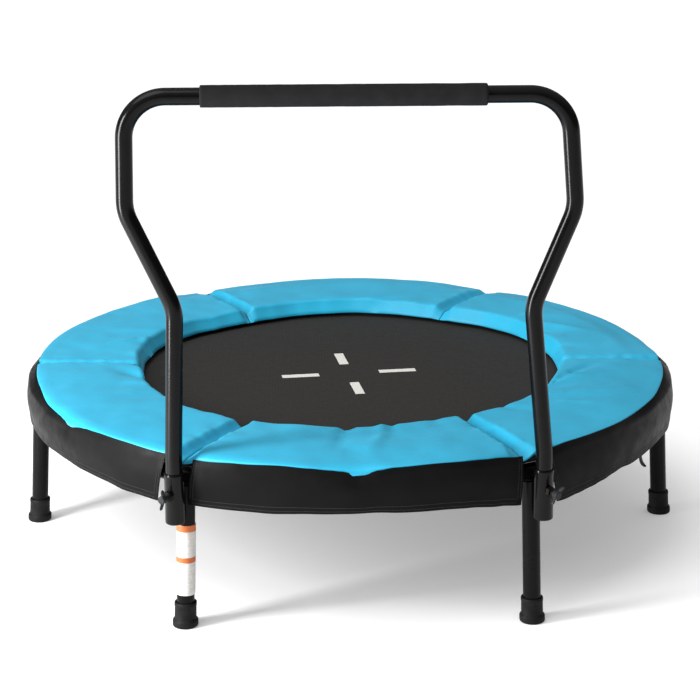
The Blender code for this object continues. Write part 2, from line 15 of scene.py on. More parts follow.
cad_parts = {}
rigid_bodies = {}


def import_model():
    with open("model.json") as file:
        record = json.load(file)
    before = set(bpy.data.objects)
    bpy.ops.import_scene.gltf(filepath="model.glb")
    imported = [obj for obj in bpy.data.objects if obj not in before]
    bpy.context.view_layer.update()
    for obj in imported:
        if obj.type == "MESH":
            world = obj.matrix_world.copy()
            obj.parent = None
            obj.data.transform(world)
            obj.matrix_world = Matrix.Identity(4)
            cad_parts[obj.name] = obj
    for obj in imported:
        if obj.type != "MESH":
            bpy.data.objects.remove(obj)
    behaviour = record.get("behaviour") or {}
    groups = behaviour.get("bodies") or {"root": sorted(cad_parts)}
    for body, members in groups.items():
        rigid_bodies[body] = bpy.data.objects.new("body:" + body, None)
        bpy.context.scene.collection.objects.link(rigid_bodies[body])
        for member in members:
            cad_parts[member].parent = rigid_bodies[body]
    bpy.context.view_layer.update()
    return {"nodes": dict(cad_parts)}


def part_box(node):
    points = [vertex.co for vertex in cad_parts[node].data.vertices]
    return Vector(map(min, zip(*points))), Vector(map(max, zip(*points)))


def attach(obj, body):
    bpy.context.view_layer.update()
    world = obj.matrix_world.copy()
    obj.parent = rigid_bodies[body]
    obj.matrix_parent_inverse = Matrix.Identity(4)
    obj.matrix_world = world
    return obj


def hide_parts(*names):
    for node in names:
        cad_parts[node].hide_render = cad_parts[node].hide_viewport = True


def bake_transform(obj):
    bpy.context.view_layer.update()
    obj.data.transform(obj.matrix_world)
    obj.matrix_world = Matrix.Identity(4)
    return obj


for leftover in list(bpy.data.objects):
    bpy.data.objects.remove(leftover, do_unlink=True)
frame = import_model()


def node_points(node):
    return np.array([vertex.co for vertex in frame["nodes"][node].data.vertices])


def node_radii(node):
    """The least and the greatest distance of a node's corners from the vertical axis."""
    corners = node_points(node)
    reach = np.hypot(corners[:, 0], corners[:, 1])
    return float(reach.min()), float(reach.max())


# Sizes of the solids
LEG_COUNT = 6
LEG_STEP = 2 * math.pi / LEG_COUNT
LEG_SPLAY = math.radians(3.0)
RAIL_RADIUS = 0.011
LEG_RADIUS = 0.01175
TUBE_WALL = 0.0015
FACET = math.cos(math.pi / 12)
RAIL_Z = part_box("frame_rail_1")[1].z - RAIL_RADIUS * FACET
RING_RADIUS = sum(node_radii("frame_rail_1")) / 2
PAD_INNER, PAD_OUTER = node_radii("pad_1")
PAD_BOTTOM, PAD_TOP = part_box("pad_1")[0].z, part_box("pad_1")[1].z
SKIRT_OUTER = node_radii("skirt")[1]
MAT_RADIUS = node_radii("jump_mat")[1]
MAT_BOTTOM, MAT_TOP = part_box("jump_mat")[0].z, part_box("jump_mat")[1].z
BINDING_BOTTOM, BINDING_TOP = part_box("mat_binding")[0].z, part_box("mat_binding")[1].z
SPRING_COUNT = 18
SPRING_Z = (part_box("spring_01")[0].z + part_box("spring_01")[1].z) / 2
SPRING_START, SPRING_END = node_radii("spring_01")
HANDLE_TILT = math.atan(math.tan(LEG_SPLAY) * math.cos(LEG_STEP / 2))
HANDLE_LEGS = {"left": 4, "right": 5}
POST_RADIUS = 0.011
SOCKET_RADIUS = 0.01275
SOCKET_BOTTOM = 0.150
SOCKET_LENGTH = 0.068
BRACKET_GAP = 0.0039
CLAMP_Z = 0.191
TAU = 2 * math.pi


# ---------------------------------------------------------------- small tools

def radial(angle):
    """The level unit vector that points outwards at this angle, in radians."""
    return Vector((math.cos(angle), math.sin(angle), 0.0))


def smooth(low, high, value):
    """0 below low, 1 above high, and an S-curve in between. Low may be the greater one."""
    part = min(1.0, max(0.0, (value - low) / (high - low)))
    return part * part * (3 - 2 * part)


def bell(value, centre, width):
    return math.exp(-(((value - centre) / width) ** 2))


def gap(angle, other):
    """How far one angle in degrees lies past another, from -180 to 180."""
    return (angle - other + 180.0) % 360.0 - 180.0


def between(stops, value):
    """The smooth curve through (place, amount) stops, level outside them."""
    if value <= stops[0][0]:
        return stops[0][1]
    for (start, low), (end, high) in zip(stops, stops[1:]):
        if value <= end:
            return low + (high - low) * smooth(start, end, value)
    return stops[-1][1]


def wobble(point, size, seed=0.0):
    """Smooth noise from about -1 to 1 with lumps of this size."""
    return 2 * noise.noise(Vector(point) / size + Vector((seed, 1.7 * seed, -seed)))


def piece(name, verts, faces, materials, body=None, stands_for=(), slot=None, sharp=38.0, tints=None):
    """A shaded mesh object that rides on a body."""
    mesh = bpy.data.meshes.new(name)
    mesh.from_pydata([tuple(spot) for spot in verts], [], faces)
    for finish in materials:
        mesh.materials.append(finish)
    if tints is not None:
        mesh.polygons.foreach_set("material_index", tints)
    shape = bmesh.new()
    shape.from_mesh(mesh)
    bmesh.ops.recalc_face_normals(shape, faces=shape.faces)
    shape.to_mesh(mesh)
    shape.free()
    mesh.shade_smooth()
    mesh.set_sharp_from_angle(angle=math.radians(sharp))
    made = bpy.data.objects.new(name, mesh)
    bpy.context.scene.collection.objects.link(made)
    if body:
        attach(made, body)
    if stands_for:
        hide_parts(*stands_for)
    return made


class Shape:
    """Vertices and faces that several bodies are added to."""

    def __init__(self):
        self.verts, self.faces, self.tints = [], [], []

    def loft(self, rings, closed=False, capped=True, tint=0):
        """A skin over rings of points. Open rows of rings get a cap on each end."""
        base, count, rows = len(self.verts), len(rings[0]), len(rings)
        self.verts += [tuple(spot) for ring in rings for spot in ring]
        for row in range(rows if closed else rows - 1):
            low, high = base + row * count, base + (row + 1) % rows * count
            for side in range(count):
                after = (side + 1) % count
                self.faces.append((low + side, low + after, high + after, high + side))
                self.tints.append(tint(row) if callable(tint) else tint)
        if capped and not closed:
            for start in (base, base + (rows - 1) * count):
                self.faces.append(tuple(range(start, start + count)))
                self.tints.append(tint(0) if callable(tint) else tint)
        return self

    def piece(self, name, materials, **facts):
        return piece(name, self.verts, self.faces, materials, tints=self.tints, **facts)


def circle(centre, first, second, radius, sides):
    turns = [TAU * side / sides for side in range(sides)]
    return [centre + first * (radius * math.cos(turn)) + second * (radius * math.sin(turn)) for turn in turns]


def sweep(path, radius, sides=24, start=None):
    """Circles round a path, turned as little as possible from one to the next. Radius may vary by place."""
    rings = []
    side = None
    for place, spot in enumerate(path):
        ahead = path[min(place + 1, len(path) - 1)]
        behind = path[max(place - 1, 0)]
        along = (ahead - behind).normalized()
        if side is None:
            side = (start or along.orthogonal()).normalized()
        side = (side - along * side.dot(along)).normalized()
        size = radius(place) if callable(radius) else radius
        rings.append(circle(spot, side, along.cross(side), size, sides))
    return rings


def turned(base, axis, side, profile, sides=40):
    """Circles about an axis from (distance along, radius) pairs."""
    across = axis.cross(side)
    return [circle(base + axis * along, side, across, radius, sides) for along, radius in profile]


def leg_centre(index, height):
    """The middle of a splayed leg at this height."""
    out = RING_RADIUS + (RAIL_Z - height) * math.tan(LEG_SPLAY)
    return radial(index * LEG_STEP) * out + Vector((0.0, 0.0, height))


# ---------------------------------------------------------------- materials

class Finish:
    """A material built node by node round one Principled shader."""

    def __init__(self, name, colour, roughness, metallic=0.0, **sockets):
        self.material = bpy.data.materials.new(name)
        self.material.use_nodes = True
        self.nodes = self.material.node_tree.nodes
        self.links = self.material.node_tree.links
        self.shader = self.nodes["Principled BSDF"]
        self.shader.inputs["Base Color"].default_value = (*colour, 1.0)
        self.shader.inputs["Roughness"].default_value = roughness
        self.shader.inputs["Metallic"].default_value = metallic
        for socket, value in sockets.items():
            self.shader.inputs[socket.replace("_", " ")].default_value = value
        self.colour = colour
        self.place = self.nodes.new("ShaderNodeTexCoord").outputs["Object"]
        self.normal = None

    def stretched(self, scale):
        mapping = self.nodes.new("ShaderNodeMapping")
        mapping.inputs["Scale"].default_value = scale
        self.links.new(self.place, mapping.inputs["Vector"])
        return mapping.outputs["Vector"]

    def noise(self, size, detail=3.0, stretch=None):
        """Noise with lumps of this size in metres."""
        made = self.nodes.new("ShaderNodeTexNoise")
        made.inputs["Scale"].default_value = 1 / size
        made.inputs["Detail"].default_value = detail
        self.links.new(self.stretched(stretch) if stretch else self.place, made.inputs["Vector"])
        return made.outputs["Fac"]

    def cells(self, size):
        """Rounded cells of this size."""
        made = self.nodes.new("ShaderNodeTexVoronoi")
        made.inputs["Scale"].default_value = 1 / size
        self.links.new(self.place, made.inputs["Vector"])
        return made.outputs["Distance"]

    def waves(self, size, direction):
        """Even ridges that repeat after this size along an axis."""
        made = self.nodes.new("ShaderNodeTexWave")
        made.wave_type, made.bands_direction, made.wave_profile = "BANDS", direction, "SIN"
        made.inputs["Scale"].default_value = TAU / 20 / size
        self.links.new(self.place, made.inputs["Vector"])
        return made.outputs["Fac"]

    def weave(self, size):
        """Crossed ridges, as of tapes woven over and under each other."""
        return self.combined(self.waves(size, "X"), self.waves(size, "Y"))

    def combined(self, first, second, operation="MULTIPLY"):
        made = self.nodes.new("ShaderNodeMath")
        made.operation = operation
        self.links.new(first, made.inputs[0])
        self.links.new(second, made.inputs[1])
        return made.outputs["Value"]

    def ranged(self, value, low, high, start=0.0, end=1.0):
        made = self.nodes.new("ShaderNodeMapRange")
        for socket, number in (("From Min", start), ("From Max", end), ("To Min", low), ("To Max", high)):
            made.inputs[socket].default_value = number
        self.links.new(value, made.inputs["Value"])
        return made.outputs["Result"]

    def tint(self, value, darker, lighter, start=0.3, end=0.7):
        """Varies the colour between two shares of it as the value goes from start to end."""
        ramp = self.nodes.new("ShaderNodeValToRGB")
        for stop, place, share in zip(ramp.color_ramp.elements, (start, end), (darker, lighter)):
            stop.position = place
            stop.color = (*[min(1.0, channel * share) for channel in self.colour], 1.0)
        self.links.new(value, ramp.inputs["Fac"])
        self.links.new(ramp.outputs["Color"], self.shader.inputs["Base Color"])
        return self

    def polish(self, value, low, high, start=0.3, end=0.7):
        """Varies the roughness."""
        self.links.new(self.ranged(value, low, high, start, end), self.shader.inputs["Roughness"])
        return self

    def bump(self, value, depth, strength=1.0):
        made = self.nodes.new("ShaderNodeBump")
        made.inputs["Distance"].default_value = depth
        made.inputs["Strength"].default_value = strength
        self.links.new(value, made.inputs["Height"])
        if self.normal:
            self.links.new(self.normal, made.inputs["Normal"])
        self.normal = made.outputs["Normal"]
        self.links.new(self.normal, self.shader.inputs["Normal"])
        return self


def powder_coat():
    finish = Finish("gloss_powder_coat", (0.0028, 0.0028, 0.0030), 0.19, Specular_IOR_Level=0.15)
    finish.tint(finish.noise(0.03), 0.8, 1.25)
    return finish.polish(finish.noise(0.05), 0.17, 0.21).material


def frame_coat():
    finish = Finish("satin_powder_coat", (0.0030, 0.0030, 0.0030), 0.30, Specular_IOR_Level=0.10)
    finish.tint(finish.noise(0.025), 0.8, 1.25)
    finish.polish(finish.noise(0.01), 0.27, 0.33)
    return finish.bump(finish.noise(0.0020, 2.0), 0.00004, 0.3).material


def rubber():
    finish = Finish("matte_rubber", (0.0058, 0.0058, 0.0060), 0.55, Specular_IOR_Level=0.14)
    finish.tint(finish.noise(0.008), 0.75, 1.35)
    finish.polish(finish.noise(0.004), 0.52, 0.72)
    return finish.bump(finish.noise(0.0007), 0.00008, 0.7).material


def knob_plastic():
    finish = Finish("satin_plastic", (0.013, 0.0145, 0.0165), 0.38, Specular_IOR_Level=0.25)
    finish.tint(finish.noise(0.006), 0.85, 1.15)
    return finish.bump(finish.noise(0.0004), 0.00004, 0.6).material


def black_oxide():
    finish = Finish("black_oxide", (0.024, 0.023, 0.022), 0.48, 1.0)
    finish.tint(finish.noise(0.003), 0.7, 1.2)
    return finish.bump(finish.noise(0.0006), 0.00003, 0.5).material


def zinc():
    finish = Finish("zinc_plate", (0.52, 0.52, 0.50), 0.34, 1.0)
    finish.tint(finish.noise(0.004), 0.75, 1.1)
    finish.polish(finish.noise(0.002), 0.28, 0.46)
    return finish.bump(finish.noise(0.0008), 0.00003, 0.5).material


def foam():
    finish = Finish("grip_foam", (0.0120, 0.0120, 0.0127), 0.82, Specular_IOR_Level=0.12)
    finish.tint(finish.noise(0.02), 0.85, 1.2)
    finish.bump(finish.noise(0.009, 2.0), 0.00022, 0.6)
    return finish.bump(finish.cells(0.0009), 0.00012, 0.7).material


def pad_cover():
    """Blue coated fabric: a fine woven base under a soft satin film."""
    finish = Finish("blue_coated_fabric", (0.014, 0.352, 0.555), 0.46, Specular_IOR_Level=0.32)
    finish.shader.inputs["Sheen Weight"].default_value = 0.12
    finish.shader.inputs["Sheen Roughness"].default_value = 0.45
    finish.shader.inputs["Sheen Tint"].default_value = (0.6, 0.88, 1.0, 1.0)
    finish.tint(finish.noise(0.09, 4.0), 0.93, 1.07)
    finish.polish(finish.noise(0.02, 4.0), 0.4, 0.52)
    finish.bump(finish.noise(0.007, 3.0), 0.00022, 0.35)
    weave = finish.weave(0.0011)
    finish.bump(weave, 0.00005, 0.35)
    return finish.bump(finish.cells(0.0011), 0.00007, 0.4).material


def skirt_cover():
    finish = Finish("black_coated_fabric", (0.0046, 0.0043, 0.0043), 0.36, Specular_IOR_Level=0.065)
    finish.tint(finish.noise(0.05, 4.0), 0.85, 1.15)
    finish.polish(finish.noise(0.015, 4.0), 0.36, 0.5)
    finish.bump(finish.noise(0.008, 3.0), 0.0003, 0.4)
    return finish.bump(finish.cells(0.0010), 0.00008, 0.5).material


def mat_weave():
    """Matte woven polypropylene: crossed flat tapes."""
    finish = Finish("woven_mat", (0.0245, 0.0232, 0.0218), 0.78, Specular_IOR_Level=0.15)
    weave = finish.weave(0.0022)
    finish.tint(finish.combined(weave, finish.noise(0.004, 2.0), "ADD"), 0.8, 1.2, 0.45, 1.1)
    finish.polish(finish.noise(0.01), 0.72, 0.86)
    return finish.bump(weave, 0.00022, 0.7).material


def webbing_weave(name, colour):
    finish = Finish(name, colour, 0.8)
    weave = finish.weave(0.0014)
    finish.tint(finish.combined(weave, finish.waves(0.0014, "Z"), "ADD"), 0.7, 1.3, 0.4, 1.4)
    return finish.bump(weave, 0.0002, 0.8).material


def mark_print():
    finish = Finish("pale_mark", (0.66, 0.64, 0.60), 0.62)
    weave = finish.weave(0.0022)
    finish.tint(finish.combined(weave, finish.noise(0.003, 3.0), "ADD"), 0.86, 1.08, 0.45, 1.1)
    return finish.bump(weave, 0.00018, 0.6).material


def film(name, colour):
    """Thin film with a little grime."""
    finish = Finish(name, colour, 0.46)
    finish.tint(finish.noise(0.009, 5.0, (1.0, 1.0, 3.0)), 0.84, 1.04, 0.25, 0.6)
    return finish.bump(finish.noise(0.002), 0.00006, 0.6).material


def thread(name, colour):
    finish = Finish(name, colour, 0.7)
    finish.tint(finish.noise(0.002), 0.8, 1.25)
    return finish.bump(finish.noise(0.0004), 0.00005, 0.8).material


GLOSS = powder_coat()
SATIN = frame_coat()
RUBBER = rubber()
PLASTIC = knob_plastic()
ZINC = zinc()
OXIDE = black_oxide()
FOAM = foam()
BLUE = pad_cover()
BLACK = skirt_cover()
WOVEN = mat_weave()
WEBBING = webbing_weave("black_webbing", (0.0045, 0.0045, 0.0047))
MARK = mark_print()
WHITE_FILM = film("white_film", (0.66, 0.64, 0.61))
ORANGE_FILM = film("orange_film", (0.53, 0.115, 0.018))
BLACK_THREAD = thread("black_thread", (0.03, 0.03, 0.032))


# ---------------------------------------------------------------- frame, legs and feet

RAIL_END_GAP = 0.0004
WELD_RADIUS, WELD_BEAD, WELD_RIPPLE, WELD_DIP = 0.0094, 0.0016, 0.0004, 0.0022


def rails():
    """Six rails round the ring, each a little narrower at one end, with a weld bead round its leg's top."""
    for index in range(LEG_COUNT):
        start = (index - 0.5) * LEG_STEP
        steps = 40
        path, sizes = [], []
        for step in range(steps + 1):
            part = step / steps
            angle = start + RAIL_END_GAP + (LEG_STEP - 2 * RAIL_END_GAP) * part
            path.append(radial(angle) * RING_RADIUS + Vector((0, 0, RAIL_Z)))
            sizes.append(RAIL_RADIUS - 0.0006 * smooth(0.97, 1.0, part))
        shape = Shape().loft(sweep(path, lambda place: sizes[place], 24, Vector((0, 0, 1))))
        top = leg_centre(index, RAIL_Z - RAIL_RADIUS * 0.80 - 0.0012)
        side, across = radial(index * LEG_STEP), radial(index * LEG_STEP + math.pi / 2)
        rings = []
        for step in range(24):
            turn = TAU * step / 24
            reach = WELD_RADIUS + WELD_RIPPLE * math.sin(9 * turn)
            dip = Vector((0, 0, WELD_DIP * math.cos(turn) ** 2))
            spot = top + side * reach * math.cos(turn) + across * reach * math.sin(turn) + dip
            outward = (spot - leg_centre(index, spot.z)).normalized()
            rings.append(circle(spot, outward, Vector((0, 0, 1)), WELD_BEAD, 8))
        shape.loft(rings, closed=True)
        shape.piece(f"rail_{index + 1}", [SATIN], body="frame", stands_for=[f"frame_rail_{index + 1}"],
                    slot="frame_steel")


def leg_axis(index, node):
    """A node's foot on its leg's centre line, the line's direction, a direction across it and its length."""
    low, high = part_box(node)
    base, top = leg_centre(index, low.z), leg_centre(index, high.z)
    axis = (top - base).normalized()
    side = radial(index * LEG_STEP)
    return base, axis, (side - axis * side.dot(axis)).normalized(), (top - base).length


def legs():
    """Splayed leg tubes, with a rolled edge at the top, and their rubber feet."""
    for index in range(LEG_COUNT):
        name = f"leg_tube_{index + 1}"
        base, axis, side, length = leg_axis(index, name)
        edge = 0.0005
        bore = LEG_RADIUS - TUBE_WALL
        profile = [(edge, bore), (0.0, bore + edge), (0.0, LEG_RADIUS - edge), (edge, LEG_RADIUS)]
        profile += [(length * 0.5, LEG_RADIUS), (length - edge, LEG_RADIUS), (length, LEG_RADIUS - edge)]
        profile += [(length, bore + edge), (length - edge, bore), (length * 0.5, bore)]
        tube = Shape().loft(turned(base, axis, side, profile), closed=True)
        tube.piece(f"leg_{index + 1}", [SATIN], body="frame", stands_for=[name], slot="leg_steel")
        foot(index)


def foot(index):
    """A rubber cup with a soft lip, a moulding line and a chunky flange, level on the floor."""
    node = f"foot_{index + 1}"
    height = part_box(node)[1].z
    bore = LEG_RADIUS + 0.0003
    cup = bore + 0.0024
    flange = cup + 0.0025
    soft = 0.0012
    rise = 0.0105
    profile = [(0.0, flange - 2.0 * soft), (0.0004, flange - soft), (soft, flange - 0.0003)]
    profile.append((2 * soft, flange))
    profile += [(rise - 2 * soft, flange), (rise - soft, flange - 0.0003), (rise - 0.0004, flange - soft)]
    profile += [(rise, cup + soft), (rise + 0.0006, cup + 0.0004), (rise + 0.002, cup + 0.0001)]
    profile += [(height - 0.006, cup - 0.0001), (height - 0.0052, cup + 0.0003)]
    profile.append((height - 0.0012, cup + 0.0003))
    profile += [(height - 0.0003, cup - 0.0003), (height, cup - 0.0012), (height - 0.0002, bore + 0.0003)]
    profile += [(height - 0.0012, bore), (0.006, bore)]
    rings = []
    side, across = radial(index * LEG_STEP), radial(index * LEG_STEP + math.pi / 2)
    for level, radius in profile:
        rings.append(circle(leg_centre(index, level), side, across, radius, 40))
    Shape().loft(rings).piece(f"foot_cup_{index + 1}", [RUBBER], body="frame", stands_for=[node],
                              slot="foot_rubber")


def leg_wrap():
    """The ribbed film sleeve with its two orange bands, round the left front leg."""
    index = HANDLE_LEGS["left"]
    base, axis, side, length = leg_axis(index, "leg_sleeve")
    inner, outer = LEG_RADIUS + 0.0002, LEG_RADIUS + 0.00085
    bands = ((length - 0.0092, length), (length - 0.0516, length - 0.0441))
    rib = 0.0023
    count = 240
    profile, orange = [(0.0, inner)], []
    for step in range(count + 1):
        along = length * step / count
        banded = any(start <= along <= end for start, end in bands)
        ripple = 0.0 if banded else 0.00016 * math.sin(TAU * along / rib)
        edge = 0.0002 * (bell(along, 0.0, 0.0006) + bell(along, length, 0.0006))
        profile.append((along, outer + ripple - edge + (0.00022 if banded else 0.0)))
        orange.append(banded)
    profile.append((length, inner))
    shape = Shape()
    shape.loft(turned(base, axis, side, profile, 48), closed=True,
               tint=lambda row: 1 if 0 < row <= count and orange[row - 1] else 0)
    shape.piece("leg_wrap", [WHITE_FILM, ORANGE_FILM], body="frame", stands_for=["leg_sleeve"],
                slot="sleeve_film")


# ---------------------------------------------------------------- sockets and clamps

def socket_point(side, height):
    index = HANDLE_LEGS[side]
    middle = SOCKET_BOTTOM + SOCKET_LENGTH / 2
    offset = LEG_RADIUS + BRACKET_GAP + SOCKET_RADIUS
    base = leg_centre(index, middle) + radial(index * LEG_STEP) * offset
    return base + Vector((0.0, math.tan(HANDLE_TILT), 1.0)) * (height - middle)


UP = Vector((0.0, math.sin(HANDLE_TILT), math.cos(HANDLE_TILT)))
FACING = Vector((0.0, math.cos(HANDLE_TILT), -math.sin(HANDLE_TILT)))


def sockets():
    """Deep-drawn cups beside the front legs, each with a rolled rim, a welded plate and a clamp."""
    for side in HANDLE_LEGS:
        bore = SOCKET_RADIUS - 0.0012
        base = socket_point(side, SOCKET_BOTTOM)
        length = SOCKET_LENGTH
        soft = 0.0035
        profile = [(0.0, SOCKET_RADIUS - soft)]
        for step in range(1, 7):
            turn = math.pi / 2 * step / 6
            profile.append((soft - soft * math.cos(turn), SOCKET_RADIUS - soft + soft * math.sin(turn)))
        profile += [(length - 0.006, SOCKET_RADIUS), (length - 0.005, SOCKET_RADIUS + 0.00035)]
        profile += [(length - 0.0009, SOCKET_RADIUS + 0.00035), (length - 0.0002, SOCKET_RADIUS)]
        profile += [(length, SOCKET_RADIUS - 0.0005), (length - 0.0004, bore + 0.0001)]
        profile += [(length - 0.002, bore), (0.003, bore)]
        shape = Shape().loft(turned(base, UP, FACING, profile, 44))
        shape.piece(f"socket_{side}", [GLOSS], body="frame", stands_for=[f"handle_socket_{side}"],
                    slot="leg_steel")
        finish_node(frame["nodes"][f"socket_bracket_{side}"], SATIN, 0.0006)
        finish_node(frame["nodes"][f"clamp_nut_{side}"], OXIDE, 0.0004)
        clamp_thread(side)
        knob(side)


def finish_node(node, finish, rounding):
    """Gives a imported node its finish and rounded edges."""
    node.data.materials.clear()
    node.data.materials.append(finish)
    round_off = node.modifiers.new("rounding", "BEVEL")
    round_off.width = rounding
    round_off.segments = 3
    round_off.limit_method = "ANGLE"


def clamp_axis(side):
    """The clamp's centre, its direction outwards, and two directions across it."""
    out = radial(HANDLE_LEGS[side] * LEG_STEP)
    return socket_point(side, CLAMP_Z), out, Vector((-out.y, out.x, 0.0)), Vector((0.0, 0.0, 1.0))


def node_span(node, centre, out):
    """The least and greatest distance of a node's corners along the clamp's axis."""
    along = [(Vector(corner) - centre).dot(out) for corner in node_points(node)]
    return min(along), max(along)


def clamp_thread(side):
    """The clamp's screw, with a real thread."""
    centre, out, across, up = clamp_axis(side)
    start, end = node_span(f"clamp_screw_{side}", centre, out)
    pitch, sides, depth = 0.00125, 24, 0.0006
    crest, tip, taper = 0.004, 0.0031, 1.5
    rings = []
    steps = int((end - start) / pitch * 8)
    for step in range(steps + 1):
        along = start + (end - start) * step / steps
        ring = []
        for number in range(sides):
            turn = TAU * number / sides
            wave = math.cos(TAU * (along / pitch) - turn)
            radius = crest - depth / 2 + depth / 2 * wave
            radius = min(radius, tip + (along - start) * taper)
            spoke = across * (radius * math.cos(turn)) + up * (radius * math.sin(turn))
            ring.append(centre + out * along + spoke)
        rings.append(ring)
    Shape().loft(rings).piece(f"clamp_thread_{side}", [OXIDE], body=f"clamp_{side}",
                              stands_for=[f"clamp_screw_{side}"], slot="zinc_steel", sharp=60.0)


KNOB_TURN = {"left": 84.0, "right": 48.0}

# Sections of a knob's wing: distance from the hub's middle, distance outwards, half width, half thickness
KNOB_WING = [(0.002, 0.0034, 0.0030, 0.0020), (0.006, 0.0042, 0.0034, 0.0019),
             (0.0095, 0.0054, 0.0036, 0.0018), (0.0122, 0.0062, 0.0031, 0.0016),
             (0.0138, 0.0066, 0.0018, 0.0009)]


def knob(side):
    """A moulded wing knob: a round hub with two flared wings, blended into one body."""
    centre, out, across, up = clamp_axis(side)
    start, end = node_span(f"wing_knob_{side}", centre, out)
    turn = math.radians(KNOB_TURN[side])
    first = across * math.cos(turn) + up * math.sin(turn)
    second = up * math.cos(turn) - across * math.sin(turn)
    hub = [(start, 0.0050), (start + 0.0006, 0.0056), (end - 0.0010, 0.0052), (end, 0.0044)]
    shape = Shape().loft(turned(centre, out, first, hub, 24))
    for way in (1, -1):
        rings = []
        for reach, along, half, thick in KNOB_WING:
            middle = centre + first * (reach * way) + out * (start + along)
            turns = [TAU * number / 16 for number in range(16)]
            rings.append([middle + out * (half * math.cos(part)) + second * (thick * math.sin(part))
                          for part in turns])
        shape.loft(rings)
    made = shape.piece(f"knob_{side}", [PLASTIC])
    remesh = made.modifiers.new("blend", "REMESH")
    remesh.mode = "VOXEL"
    remesh.voxel_size = 0.00035
    remesh.use_smooth_shade = True
    relax = made.modifiers.new("relax", "SMOOTH")
    relax.factor = 0.5
    relax.iterations = 5
    apply_modifiers(made)
    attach(made, f"knob_{side}")
    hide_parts(f"wing_knob_{side}")


def apply_modifiers(obj):
    """Replaces an object's mesh by what its modifiers make of it."""
    graph = bpy.context.evaluated_depsgraph_get()
    made = bpy.data.meshes.new_from_object(obj.evaluated_get(graph))
    obj.modifiers.clear()
    obj.data = made


# ---------------------------------------------------------------- handle

HANDLE_LOWER_BEND, HANDLE_UPPER_BEND, HANDLE_BAR = 0.434, 0.560, 0.7035
HANDLE_POST_TOE_IN, HANDLE_FLARE, HANDLE_TOP_TOE_IN = 0.0113, 0.0554, 0.0065
HANDLE_BENDS = (0.150, 0.062, 0.062, 0.052)
HANDLE_SIDE_LEAN = math.radians(1.8)
GRIP_LENGTH, GRIP_RADIUS, GRIP_OFFSET = 0.356, 0.0140, -0.0035


def rounded_path(corners, radii, step_angle=math.radians(4.0)):
    """Points along straight runs joined by arcs, in a plane."""
    path = [corners[0]]
    for before, corner, after, radius in zip(corners, corners[1:], corners[2:], radii):
        arrive, leave = (corner - before).normalized(), (after - corner).normalized()
        turn = arrive.angle_signed(leave)
        start = corner - arrive * (radius * math.tan(abs(turn) / 2))
        middle = start + Vector((arrive.y, -arrive.x)) * math.copysign(radius, turn)
        steps = max(3, math.ceil(abs(turn) / step_angle))
        for step in range(steps + 1):
            part = turn * step / steps
            arm = start - middle
            path.append(middle + Vector((arm.x * math.cos(part) + arm.y * math.sin(part),
                                         arm.y * math.cos(part) - arm.x * math.sin(part))))
    return path + [corners[-1]]


def handle_corners():
    """The handle's corners across and up its leaning plane."""
    foot_height = (SOCKET_BOTTOM + 0.0003) / math.cos(HANDLE_TILT) + 0.003
    set_height = (SOCKET_BOTTOM + SOCKET_LENGTH) / math.cos(HANDLE_TILT) + 2 * POST_RADIUS
    half = socket_point("right", SOCKET_BOTTOM).x
    waist = half - HANDLE_POST_TOE_IN
    wide = waist + HANDLE_FLARE
    side = [(waist, HANDLE_LOWER_BEND), (wide, HANDLE_UPPER_BEND), (wide - HANDLE_TOP_TOE_IN, HANDLE_BAR)]
    upper = [(-across, height) for across, height in side] + side[::-1]
    lean = math.tan(HANDLE_SIDE_LEAN)
    leaning = [Vector((across - (height - set_height) * lean, height)) for across, height in upper]
    lower = [Vector((-half, foot_height)), Vector((-half, set_height))]
    return lower + leaning + [Vector((half, set_height)), Vector((half, foot_height))]


def handle_point(spot):
    """A point of the leaning plane, in the shared frame."""
    base = socket_point("right", 0.0)
    return Vector((spot.x, base.y + spot.y * math.sin(HANDLE_TILT), spot.y * math.cos(HANDLE_TILT)))


def handle():
    """The bent tube, and the foam grip on its bar."""
    corners = handle_corners()
    path = [handle_point(spot) for spot in rounded_path(corners, HANDLE_BENDS + HANDLE_BENDS[::-1])]
    made = Shape().loft(sweep(path, POST_RADIUS, 40, FACING))
    made.piece("handle_bar", [GLOSS], body="handle", stands_for=["handle_tube"], slot="handle_steel")
    left, right = handle_point(corners[4]), handle_point(corners[5])
    along = (right - left).normalized()
    middle = (left + right) / 2 + along * GRIP_OFFSET
    start = middle - along * (GRIP_LENGTH / 2)
    bore = POST_RADIUS + 0.0002
    profile = [(0.0, bore), (0.0, GRIP_RADIUS - 0.0016), (0.0004, GRIP_RADIUS - 0.0007)]
    profile.append((0.0012, GRIP_RADIUS - 0.0001))
    steps = 150
    for step in range(1, steps):
        place = 0.0012 + (GRIP_LENGTH - 0.0024) * step / steps
        dent = 0.00013 * wobble((place, 0.3, 0.0), 0.03) + 0.00005 * wobble((place, 2.0, 0.0), 0.007)
        profile.append((place, GRIP_RADIUS + dent))
    profile += [(GRIP_LENGTH - shrink, radius) for shrink, radius in reversed(profile[:4])]
    grip = Shape().loft(turned(start, along, FACING, profile, 48), closed=True)
    made = grip.piece("grip_sleeve", [FOAM], body="handle", stands_for=["handle_grip"], slot="grip_foam")


# ---------------------------------------------------------------- mat and springs

def mat():
    """The stretched woven mat, which sinks by a hair in the middle, and the marks on it."""
    rows, columns = 34, 108
    top, bottom = [], []
    for row in range(1, rows + 1):
        reach = MAT_RADIUS * row / rows
        upper, lower = [], []
        for column in range(columns):
            spot = radial(TAU * column / columns) * reach
            level = mat_level(spot)
            upper.append(spot + Vector((0, 0, level)))
            lower.append(spot + Vector((0, 0, level - (MAT_TOP - MAT_BOTTOM))))
        top.append(upper)
        bottom.append(lower)
    rings = bottom + top[::-1]
    made = Shape().loft(rings).piece("woven_mat", [WOVEN], body="mat", stands_for=["jump_mat"],
                                     slot="mat_fabric")
    mat_marks()


